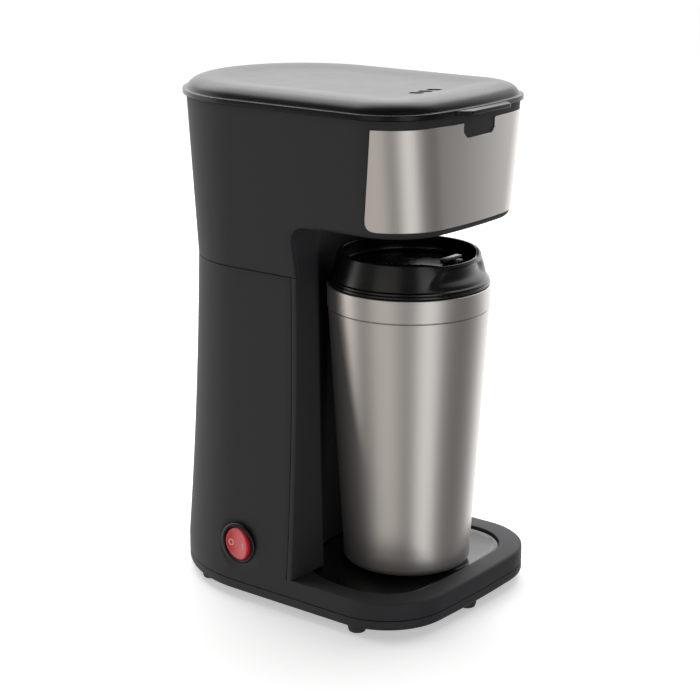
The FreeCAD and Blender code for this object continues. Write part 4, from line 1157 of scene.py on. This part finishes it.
def wrapped_sheet(name, outline, s, wall):
    """A sheet cut to an outline and laid on the head's front; its seen edge is slightly rounded."""
    spacing = 2.5 * MM
    border = densely(outline, spacing)
    edge = 0.2 * MM
    inner = drawn_in(border, edge)
    lows = [min(p[k] for p in border) for k in (0, 1)]
    highs = [max(p[k] for p in border) for k in (0, 1)]
    grid = []
    for row in range(1, int((highs[1] - lows[1]) / spacing)):
        for column in range(1, int((highs[0] - lows[0]) / spacing)):
            point = (lows[0] + column * spacing, lows[1] + row * spacing)
            if inside(point, inner) and min(math.dist(point, q) for q in inner) > 0.5 * spacing:
                grid.append(point)
    count = len(inner)
    flat = [Vector(point) for point in inner + grid]
    loop = [(k, (k + 1) % count) for k in range(count)]
    verts, _, faces, *_ = delaunay_2d_cdt(flat, loop, [], 1, 1e-7)
    lines = {}

    def lay(point, out):
        """Place a flat point on the head at its distance along the front, lifted by out."""
        level = round(point[1], 6)
        if level not in lines:
            lines[level] = front_line(head_plan(s, level), -s.panel_wrap + 0.8 * MM)
        rows = lines[level]
        along = abs(point[0])
        index = 1
        while index < len(rows) - 1 and rows[index][0] < along:
            index += 1
        a, b = rows[index - 1], rows[index]
        t = (along - a[0]) / (b[0] - a[0])
        place = a[1].lerp(b[1], t) + a[2].lerp(b[2], t).normalized() * out
        return (place.x if point[0] > 0 else -place.x, place.y, level)

    skin = [lay(vert, wall) for vert in verts]
    rim = [lay(point, wall - edge) for point in border]
    back = [lay(point, 0.05 * MM) for point in border]
    points = skin + rim + back
    first, second = len(skin), len(skin) + count
    sides = []
    for k in range(count):
        j = (k + 1) % count
        sides.append((k, j, first + j, first + k))
        sides.append((first + k, first + j, second + j, second + k))
    piece = new_piece(name, points, [tuple(face) for face in faces] + sides)
    return cleaned(piece, 40)


def inside(point, outline):
    """Whether a point lies inside a closed outline."""
    x, y = point
    found = False
    for index, (x1, y1) in enumerate(outline):
        x0, y0 = outline[index - 1]
        if (y0 > y) != (y1 > y) and x < (x1 - x0) * (y - y0) / (y1 - y0) + x0:
            found = not found
    return found


# ---------------------------------------------------------------- operators: lid
def lid_profile(s):
    """(inset, level) pairs of the lid from under its ceiling, round its edge, to its dished top."""
    low = LID_LEVEL
    flange = low + 2.6 * MM
    top = LID[1].z
    crown_start = 2.4 * MM
    profile = [(s.lid_overhang + s.wall + 3 * MM, low + 5.2 * MM), (s.lid_overhang + s.wall, low + 4.6 * MM),
               (s.lid_overhang + s.wall, low + 0.3 * MM), (s.lid_overhang + s.wall - 0.3 * MM, low)]
    profile += [(0.5 * MM, low), (0.12 * MM, low + 0.12 * MM), (0, low + 0.5 * MM), (0, flange - 0.5 * MM),
                (0.12 * MM, flange - 0.12 * MM), (0.5 * MM, flange), (crown_start - 0.5 * MM, flange),
                (crown_start - 0.1 * MM, flange + 0.15 * MM)]
    crown, rise = 9.5 * MM, top - flange
    for turn in steps_between(0.12, QUARTER, 14):
        profile.append((crown_start + crown * (1 - math.cos(turn)) ** 0.9,
                        flange + rise * math.sin(turn) ** 0.95))
    for run, drop in ((3, 0.08), (6, 0.25), (9, 0.5), (12, 0.8), (15, 1.05), (18, 1.2)):
        profile.append((crown_start + crown + run * MM, top - drop * MM))
    return profile


class COFFEE_OT_lid_cover(bpy.types.Operator):
    """Domed and dished lid with its flange, thumb tab, steam vents and hinge knuckle"""
    bl_idname = "coffee.lid_cover"
    bl_label = "Lid cover"

    def execute(self, context):
        s = context.scene.coffee_housing
        rings = [ring(full_half(lid_plan(s, inset)), level) for inset, level in lid_profile(s)]
        piece = stacked("lid_cover", rings, sharp=50)
        combined(piece, vent_cutter())
        combined(piece, thumb_tab(s), "UNION")
        combined(piece, knuckle(s), "UNION")
        finished(cleaned(piece, 50), "lid", "black_housing", "lid_cover", material=finish_of("black_cover"))
        return {"FINISHED"}


def vent_cutter():
    """Three slanted slots, one slot repeated by a tree."""
    slot = rounded([(-4 * MM, 1.4 * MM, 0.4 * MM), (-0.6 * MM, -4.6 * MM, 0.4 * MM),
                    (4 * MM, -3.4 * MM, 0.4 * MM), (0.6 * MM, 2.6 * MM, 0.4 * MM)], closed=True)
    piece = prism("vents", [(x - 11.4 * MM, y - 54 * MM) for x, y in slot], LID_LEVEL - MM, LID[1].z + MM, 0)
    return cleaned(through(piece, row_tree(), Count=3, Step=(7.4 * MM, 0, 0)))


def thumb_tab(s):
    """Flat tab that widens the flange at the front."""
    front = -s.top_front - s.lid_overhang
    tip = LID[0].y
    half = 17 * MM
    outline = rounded([(-half - 9 * MM, front + 3 * MM, 0), (-half - 4 * MM, front + 0.2 * MM, 3 * MM),
                       (-half, tip, 3 * MM), (half, tip, 3 * MM), (half + 4 * MM, front + 0.2 * MM, 3 * MM),
                       (half + 9 * MM, front + 3 * MM, 0)], closed=True)
    return prism("tab", outline, LID_LEVEL + 0.15 * MM, LID_LEVEL + 2.2 * MM, 0.5 * MM)


def knuckle(s):
    """Hinge knuckle between the housing's ears, with the web that joins it to the flange."""
    pin = middle(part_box("lid_hinge_pin"))
    half = 8.4 * MM
    outline = rounded([(s.top_back - 1.2 * MM, LID_LEVEL + 0.2 * MM, 0),
                       (s.top_back + 0.5 * MM, pin.z + 0.5 * MM, 0.5 * MM),
                       (pin.y - 1.9 * MM, pin.z - 1.6 * MM, 1.5 * MM),
                       (pin.y, pin.z - 2.5 * MM, 1.5 * MM), (pin.y + 2.5 * MM, pin.z - 0.8 * MM, 2 * MM),
                       (pin.y + 1.2 * MM, LID_LEVEL + 2 * MM, 1.5 * MM),
                       (s.top_back - 1.2 * MM, LID_LEVEL + 2 * MM, 0)], closed=True)
    return laid_across(prism("knuckle", outline, -half, half, 0.4 * MM))


# ---------------------------------------------------------------- operators: switch and cord entry
class COFFEE_OT_switch(bpy.types.Operator):
    """Round bezel, red rocker and its two marks"""
    bl_idname = "coffee.switch"
    bl_label = "Switch"

    def execute(self, context):
        centre = switch_centre()
        outer = (SWITCH[1].z - SWITCH[0].z) / 2
        well = 9.4 * MM
        body = turned("switch_body", [
            (well, -6 * MM, 0), (well, 0.05 * MM, 0.5 * MM), (outer - 0.2 * MM, 0, 0.7 * MM),
            (outer, -1.5 * MM, 0.3 * MM), (10 * MM, -1.5 * MM, 0), (10 * MM, -16 * MM, 0.6 * MM),
            (3 * MM, -16 * MM, 0), (3 * MM, -6 * MM, 0)], finish_of("tray_gloss"), 96, sharp=40)
        # the turned profile's level runs along -X, outwards from the wall
        stand = Matrix.Translation(centre) @ Matrix.Rotation(-QUARTER, 4, "Y")
        finished(moved(body, stand), "root", "tray_gloss", "switch_body", material=finish_of("black_lid"))
        tilt = Matrix.Rotation(math.radians(-8), 4, "Z")
        pivot = Matrix.Translation((centre.x + 0.9 * MM, centre.y, centre.z)) @ tilt
        rocker = moved(rocker_button(), pivot)
        finished(rocker, "rocker", "red_rocker", "switch_rocker")
        finished(moved(rocker_marks(), pivot), "rocker", "white_ceramic")
        return {"FINISHED"}


def rocker_face(y, z):
    """How far the button's face stands out at (y, z): saddle across, rounded at its edge."""
    reach = min(1, math.hypot(y, z) / ROCKER_RADIUS)
    return -(0.75 * MM + 0.95 * MM * (y / ROCKER_RADIUS) ** 2 - 0.5 * MM * max(0, (reach - 0.88) / 0.12) ** 2)


def rocker_button():
    count, rows = 72, 14
    points = [(rocker_face(0, 0), 0, 0)]
    for row in range(1, rows + 1):
        reach = ROCKER_RADIUS * math.sin(QUARTER * row / rows)
        for y, z in arc(0, 0, reach, 0, 2 * math.pi, count)[:-1]:
            points.append((rocker_face(y, z), y, z))
    points += [(1.2 * MM, y, z) for y, z in arc(0, 0, ROCKER_RADIUS - 0.2 * MM, 0, 2 * math.pi, count)[:-1]]
    faces = [(0, 1 + k, 1 + (k + 1) % count) for k in range(count)]
    for row in range(rows):
        low, high = 1 + row * count, 1 + (row + 1) * count
        faces += [(low + k, high + k, high + (k + 1) % count, low + (k + 1) % count) for k in range(count)]
    last = 1 + rows * count
    faces.append(tuple(range(last, last + count)))
    return cleaned(new_piece("switch_rocker", points, faces), 40)


def rocker_marks():
    """A circle towards the back and a bar towards the front, raised a hair from the face."""
    lift, deep = 0.06 * MM, 0.2 * MM
    outer, inner = [arc(4.6 * MM, 0, reach, 0, 2 * math.pi, 40)[:-1] for reach in (1.75 * MM, 1.3 * MM)]
    points, faces = [], []

    def lay(y, z, out):
        return (rocker_face(y, z) - out, y, z)

    count = len(outer)
    for outline, out in ((outer, -deep), (outer, lift), (inner, lift), (inner, -deep)):
        points += [lay(y, z, out) for y, z in outline]
    for row in range(4):
        low, high = row * count, (row + 1) % 4 * count
        faces += [(low + k, low + (k + 1) % count, high + (k + 1) % count, high + k) for k in range(count)]
    ringed = new_piece("switch_marks", points, faces)
    bar = rectangle(-4.85 * MM, -4.35 * MM, -1.7 * MM, 1.7 * MM, 0.1 * MM, 3)
    count = len(bar)
    points = [lay(y, z, out) for out in (-deep, lift) for y, z in bar]
    faces = [(k, (k + 1) % count, count + (k + 1) % count, count + k) for k in range(count)]
    faces += [tuple(range(count)), tuple(range(count, 2 * count))]
    return cleaned(merged(ringed, new_piece("bar", points, faces)))


class COFFEE_OT_cord_gland(bpy.types.Operator):
    """Flanged rubber gland where the mains cord would come in"""
    bl_idname = "coffee.cord_gland"
    bl_label = "Cord gland"

    def execute(self, context):
        low, high = GLAND
        centre = middle(GLAND)
        flange = (high.z - low.z) / 2
        bore = 3.35 * MM
        face = high.y
        gland = turned("cord_gland", [
            (bore, -6.6 * MM, 0), (bore, -0.4 * MM, 0.4 * MM), (bore + 1.4 * MM, 0, 0.4 * MM),
            (flange - MM, -0.2 * MM, 0.6 * MM), (flange, -1.7 * MM, 0.2 * MM), (5 * MM, -1.7 * MM, 0),
            (5 * MM, low.y - face, 0.4 * MM), (bore, low.y - face, 0)], finish_of("rubber"), 64)
        stand = Matrix.Translation((centre.x, face, centre.z)) @ Matrix.Rotation(-QUARTER, 4, "X")
        finished(moved(gland, stand), "root", "rubber", "cord_gland")
        return {"FINISHED"}


# ---------------------------------------------------------------- operators: mug
class COFFEE_OT_mug(bpy.types.Operator):
    """Steel travel mug: tapered shell, band above the groove, liner and base pad"""
    bl_idname = "coffee.mug"
    bl_label = "Travel mug"

    def execute(self, context):
        m = context.scene.coffee_mug
        steel = finish_of("brushed_steel")
        floor, rim = MUG_FLOOR, MUG_RIM
        band = rim - m.band_height
        toe = floor + 0.8 * MM
        neck = m.top_radius - 1.3 * MM
        inner = neck - m.wall
        shell = turned("mug_shell", [
            (0, toe, 0), (m.foot_radius - 2 * MM, toe, 0.5 * MM),
            (m.low_radius, toe + 0.2 * MM, 5.6 * MM), (m.low_radius + 0.35 * MM, toe + 12 * MM, 6 * MM),
            (m.top_radius - 0.5 * MM, band - 0.6 * MM, 0.35 * MM), (neck, band - 0.6 * MM, 0),
            (neck, rim - 1.1 * MM, 0), (inner, rim - 1.1 * MM, 0), (inner, band - 2 * MM, 2 * MM),
            (m.low_radius - m.wall, toe + 12 * MM, 6 * MM), (m.low_radius - m.wall, toe + MM, 4 * MM),
            (0, toe + MM, 0)], steel, m.segments, y=MUG_AXIS)
        finished(shell, "mug", "brushed_steel", "mug_shell")
        ring_piece = turned("mug_band", [
            (neck + 0.05 * MM, band, 0), (m.top_radius, band, 0.35 * MM), (m.top_radius, rim, 0.5 * MM),
            (inner + 0.1 * MM, rim, 0.3 * MM), (inner + 0.1 * MM, rim - 1.0 * MM, 0),
            (neck + 0.05 * MM, rim - 1.0 * MM, 0)], steel, m.segments, y=MUG_AXIS)
        finished(ring_piece, "mug", "brushed_steel", "mug_band")
        low_inner = m.low_radius - 4 * MM
        throat = m.top_radius - 4.6 * MM
        liner = turned("mug_liner", [
            (0, toe + 4.2 * MM, 0), (low_inner, toe + 4.2 * MM, 5 * MM), (throat, rim - 14 * MM, 2 * MM),
            (throat, rim - 2.2 * MM, 0), (inner, rim - 2.2 * MM, 0), (inner, rim - 1.2 * MM, 0),
            (throat - 0.8 * MM, rim - 1.2 * MM, 0.4 * MM), (throat - 0.8 * MM, rim - 14 * MM, 2 * MM),
            (low_inner - 0.8 * MM, toe + 5.2 * MM, 5 * MM), (0, toe + 5.2 * MM, 0)], steel, 96, y=MUG_AXIS)
        finished(liner, "mug", "brushed_steel", "mug_liner")
        pad = turned("mug_base_pad", [
            (0, floor + 0.2 * MM, 0), (m.foot_radius - 7 * MM, floor + 0.2 * MM, 0.1 * MM),
            (m.foot_radius - 6.6 * MM, floor, 0.1 * MM), (m.foot_radius - 4 * MM, floor, 0.3 * MM),
            (m.foot_radius - 3 * MM, toe, 0), (0, toe, 0)], finish_of("rubber"), 96, y=MUG_AXIS)
        finished(pad, "mug", "rubber", "mug_base_pad")
        return {"FINISHED"}


class COFFEE_OT_mug_lid(bpy.types.Operator):
    """Black travel lid: ridged ring, tapered wall, deep dish and drinking scoop"""
    bl_idname = "coffee.mug_lid"
    bl_label = "Mug lid"

    def execute(self, context):
        m = context.scene.coffee_mug
        seat = MUG_RIM + 0.3 * MM
        top = MUG_LID[1].z
        wide = (MUG_LID[1].x - MUG_LID[0].x) / 2
        plug = m.top_radius - 6.2 * MM
        dish = seat + 8 * MM
        rim = m.lid_radius - 3.8 * MM
        lid = turned("mug_lid", [
            (0, seat + 5.4 * MM, 0), (plug - 2 * MM, seat + 5.4 * MM, 0),
            (plug - 2 * MM, MUG_LID[0].z, 0.5 * MM), (plug, MUG_LID[0].z, 0.5 * MM), (plug, seat, 0),
            (wide - 0.4 * MM, seat, 0.3 * MM),
            (wide, seat + 0.5 * MM, 0.3 * MM), (wide, seat + 1.4 * MM, 0.3 * MM),
            (wide - 0.9 * MM, seat + 1.7 * MM, 0.15 * MM), (wide - 0.5 * MM, seat + 2 * MM, 0.2 * MM),
            (wide - 0.5 * MM, seat + 2.8 * MM, 0.3 * MM), (m.lid_radius, seat + 3.4 * MM, 0.4 * MM),
            *wall_points((m.lid_radius, seat + 3.4 * MM), (rim + 0.2 * MM, top - 0.9 * MM), 12),
            (rim + 0.2 * MM, top - 0.9 * MM, 0.8 * MM), (rim - 0.9 * MM, top, 0.7 * MM),
            (rim - 2.2 * MM, top - 0.2 * MM, 0.7 * MM), (m.lid_radius - 3.6 * MM, dish, 2.5 * MM),
            (0, dish, 0)], finish_of("black_housing"), m.segments, y=MUG_AXIS, sharp=38)
        drinking_scoop(lid, seat, top)
        slot = rectangle(-2.6 * MM, 2.6 * MM, MUG_AXIS - 30 * MM, MUG_AXIS - 12 * MM, 0.8 * MM)
        combined(lid, prism("slot", slot, seat + 4 * MM, dish + 0.6 * MM, 0))
        finished(lid, "mug_lid", "black_housing", "mug_lid", material=finish_of("black_lid"))
        return {"FINISHED"}


def lid_inner_reach(height):
    """Radius between the mug lid's inner and outer wall at a height of 0 to 1."""
    return (38.6 - 3.4 * height) * MM


def wall_points(low, high, count):
    """Sharp corners spaced along a straight wall, without its two ends."""
    return [(x, y, 0) for x, y in line(low, high, count)[1:-1]]


def drinking_scoop(lid, seat, top):
    """Press the wall in and lower the rim a little on the side that one drinks from."""
    low, span = seat + 4 * MM, top - seat - 4 * MM

    def eased(value, start, end):
        t = min(1, max(0, (value - start) / (end - start)))
        return t * t * (3 - 2 * t)

    for vertex in lid.data.vertices:
        x, y = vertex.co.x, vertex.co.y - MUG_AXIS
        reach = math.hypot(x, y)
        if vertex.co.z < low or reach < 30 * MM:
            continue
        turn = abs(math.degrees(math.atan2(x, -y)))
        height = (vertex.co.z - low) / span
        press = 2.6 * MM * eased(turn, 46 - 22 * height, 32 - 22 * height) * eased(height, 0.02, 0.3)
        press *= 1 - eased(height, 0.62, 0.9)
        if reach > lid_inner_reach(height):
            factor = (reach - press) / reach
            vertex.co.x, vertex.co.y = x * factor, y * factor + MUG_AXIS
        vertex.co.z -= 2.0 * MM * eased(turn, 46, 20) * height ** 4
    lid.data.update()


class COFFEE_OT_sip_slider(bpy.types.Operator):
    """Slider that opens and shuts the drinking hole: plate, stem and cross-shaped grip"""
    bl_idname = "coffee.sip_slider"
    bl_label = "Sip slider"

    def execute(self, context):
        low, high = SLIDER
        seat = MUG_RIM + 8.6 * MM
        plate = block("sip_slider", -8 * MM, 8 * MM, low.y, high.y, seat, seat + 1.8 * MM, 2.5 * MM, 0.5 * MM)
        leg = block("leg", -3 * MM, 3 * MM, low.y + MM, high.y - 3 * MM, seat + MM, high.z - 0.8 * MM, 2 * MM,
                    0.5 * MM)
        bar = block("bar", -7.6 * MM, 7.6 * MM, low.y + 5 * MM, low.y + 9 * MM, high.z - 2.6 * MM, high.z,
                    1.5 * MM, 0.6 * MM)
        stem = block("stem", -2.1 * MM, 2.1 * MM, MUG_AXIS - 29.4 * MM, MUG_AXIS - 23 * MM, low.z,
                     seat + MM, 0.6 * MM, 0.2 * MM)
        for part in (leg, bar, stem):
            combined(plate, part, "UNION")
        finished(plate, "slider", "black_housing", "sip_slider", material=finish_of("black_lid"))
        return {"FINISHED"}


def block(name, x0, x1, y0, y1, z0, z1, corner, edge):
    """An upright block with rounded corners and edges."""
    return prism(name, rectangle(x0, x1, y0, y1, corner), z0, z1, edge)


# ---------------------------------------------------------------- operators: inside pieces
class COFFEE_OT_filter(bpy.types.Operator):
    """Brew basket, permanent filter and its ribs"""
    bl_idname = "coffee.filter"
    bl_label = "Basket and filter"

    def execute(self, context):
        for node, slot in (("brew_basket", "black_housing"), ("filter_frame", "black_housing"),
                           ("filter_mesh", "filter_nylon")):
            paint_node(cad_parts[node], slot)
        mesh_low, mesh_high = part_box("filter_mesh")
        top, floor = FILTER[1].z - 1.6 * MM, mesh_low.z + 1.2 * MM
        reach = (mesh_high.x - mesh_low.x) / 2
        foot = 12 * MM
        # one rib runs down the inside of the mesh, and a tree repeats it round the filter
        shape = [(reach - 0.9 * MM, top), (reach - 2.3 * MM, top), (foot - 2.4 * MM, floor),
                 (foot - MM, floor)]
        half = 0.6 * MM
        points = [(x, y, z) for y in (-half, half) for x, z in shape]
        faces = [(3, 2, 1, 0), (4, 5, 6, 7)] + [(k, (k + 1) % 4, 4 + (k + 1) % 4, 4 + k) for k in range(4)]
        ribs = new_piece("filter_ribs", points, faces)
        through(ribs, circle_tree(), Count=8, Material=finish_of("black_housing"))
        moved(cleaned(ribs), Matrix.Translation((0, MUG_AXIS, 0)))
        finished(ribs, "root", "black_housing")
        return {"FINISHED"}


INNER_FINISHES = {
    "black_housing": ("lid_inner_plate", "basket_support", "terminal_block", "outlet_spout"),
    "tank_plastic": ("water_tank",),
    "silicone": ("hot_water_tube", "cold_water_tube", "check_valve", "mug_lid_seal"),
    "cast_aluminium": ("heater_block", "heater_tube"),
    "zinc_steel": ("lid_hinge_pin", "hose_clamps", "heater_bracket", "thermostat"),
    "white_ceramic": ("thermal_fuse",),
}


class COFFEE_OT_inner_pieces(bpy.types.Operator):
    """Finishes of the carried-over pieces inside the housing"""
    bl_idname = "coffee.inner_pieces"
    bl_label = "Inner pieces"

    def execute(self, context):
        for slot, nodes in INNER_FINISHES.items():
            for node in nodes:
                paint_node(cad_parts[node], slot)
        return {"FINISHED"}


# ---------------------------------------------------------------- stage
Lamp = namedtuple("Lamp", "name place size watts tint")

WHITE = (1, 1, 1)
LAMPS = (
    Lamp("front", (-0.62, -1.35, -0.1), (0.75, 1.9), 6.2, WHITE),
    Lamp("fill", (-1.5, -0.1, -0.1), (1.1, 1.9), 4.6, (1, 0.95, 0.9)),
    Lamp("side", (-0.72, 1.3, -0.1), (0.7, 1.9), 6.5, (1, 0.96, 0.91)),
    Lamp("right", (1.2, -0.95, -0.1), (0.7, 1.6), 0.5, WHITE),
    Lamp("overhead", (0.5, 0.55, 1.2), (1.8, 1.2), 15, WHITE),
)


def area_light(lamp, aim):
    data = bpy.data.lights.new(lamp.name, "AREA")
    data.shape = "RECTANGLE"
    data.size, data.size_y = lamp.size
    data.energy = lamp.watts
    data.color = lamp.tint
    light = bpy.data.objects.new(lamp.name, data)
    light.location = lamp.place
    light.rotation_mode = "QUATERNION"
    light.rotation_quaternion = (aim - Vector(lamp.place)).to_track_quat("-Z", "Y")
    bpy.context.scene.collection.objects.link(light)


def studio_world(far):
    """White in the far direction and grey on the near side."""
    world = bpy.data.worlds.new("Studio")
    world.use_nodes = True
    tree = world.node_tree
    place = tree.nodes.new("ShaderNodeTexCoord")
    facing = added(tree, "ShaderNodeVectorMath", operation="DOT_PRODUCT")
    facing.inputs[1].default_value = far
    tree.links.new(place.outputs["Generated"], facing.inputs[0])
    strength = ranged(tree, facing.outputs["Value"], (0.14, 0.75), (0.13, 1.8))
    tree.links.new(strength, tree.nodes["Background"].inputs["Strength"])
    tree.nodes["Background"].inputs["Color"].default_value = (1, 1, 1, 1)
    return world


class COFFEE_OT_stage(bpy.types.Operator):
    """Pale floor, soft studio lights and the camera"""
    bl_idname = "coffee.stage"
    bl_label = "Stage"

    def execute(self, context):
        scene = context.scene
        stage = scene.coffee_stage
        reach = 6.0
        floor = new_piece("studio_floor", [(-reach, -reach, 0), (reach, -reach, 0), (reach, reach, 0),
                                           (-reach, reach, 0)], [(0, 1, 2, 3)])
        pale = tuple(scene.coffee_finish.floor)
        material, tree, surface, place = shader("studio_floor", pale, 0.9, Specular_IOR_Level=0.0,
                                                Emission_Color=(1, 1, 1, 1), Emission_Strength=0.42)
        tinted(tree, surface, noise(tree, place, 3.0), scaled(pale, 0.99), scaled(pale, 1.01))
        floor.data.materials.append(material)
        floor.visible_glossy = False
        floor.visible_diffuse = False
        floor.visible_shadow = False
        back = Vector((math.sin(stage.azimuth) * math.cos(stage.elevation),
                       -math.cos(stage.azimuth) * math.cos(stage.elevation), math.sin(stage.elevation)))
        scene.world = studio_world(Vector((-back.x, -back.y, 0.25)).normalized())
        for lamp in LAMPS:
            area_light(lamp, Vector((0, 0, 0.14)))
        scene.view_settings.view_transform = "Standard"
        camera = bpy.data.cameras.new("camera")
        camera.lens = stage.lens
        camera.sensor_width = 36.0
        camera.clip_start, camera.clip_end = 0.05, 50
        view = bpy.data.objects.new("camera", camera)
        view.location = Vector(stage.target) + back * stage.distance
        view.rotation_mode = "QUATERNION"
        view.rotation_quaternion = (-back).to_track_quat("-Z", "Y")
        scene.collection.objects.link(view)
        scene.camera = view
        return {"FINISHED"}


PIECES = (
    COFFEE_OT_base_plate, COFFEE_OT_base_screws, COFFEE_OT_feet, COFFEE_OT_lower_housing,
    COFFEE_OT_mug_tray, COFFEE_OT_bay_panel, COFFEE_OT_upper_housing, COFFEE_OT_head_underside,
    COFFEE_OT_front_panel, COFFEE_OT_lid_cover, COFFEE_OT_switch, COFFEE_OT_cord_gland,
    COFFEE_OT_mug, COFFEE_OT_mug_lid, COFFEE_OT_sip_slider, COFFEE_OT_filter,
    COFFEE_OT_inner_pieces, COFFEE_OT_stage,
)


class COFFEE_PT_pieces(bpy.types.Panel):
    """Lists the operators in the order in which they run"""
    bl_idname = "COFFEE_PT_pieces"
    bl_label = "Coffee maker"
    bl_space_type = "VIEW_3D"
    bl_region_type = "UI"
    bl_category = "Coffee maker"

    def draw(self, context):
        for operator in PIECES:
            self.layout.operator(operator.bl_idname, text=operator.bl_label)


SETTINGS = {"coffee_housing": HousingSettings, "coffee_mug": MugSettings,
            "coffee_finish": FinishSettings, "coffee_stage": StageSettings}
CLASSES = (*SETTINGS.values(), *PIECES, COFFEE_PT_pieces)


def register():
    for item in CLASSES:
        bpy.utils.register_class(item)
    for name, group in SETTINGS.items():
        setattr(bpy.types.Scene, name, PointerProperty(type=group))


def unregister():
    for name in SETTINGS:
        delattr(bpy.types.Scene, name)
    for item in reversed(CLASSES):
        bpy.utils.unregister_class(item)


def main():
    register()
    for operator in PIECES:
        call = operator.bl_idname.split(".")
        getattr(getattr(bpy.ops, call[0]), call[1])()


if __name__ == "__main__":
    main()
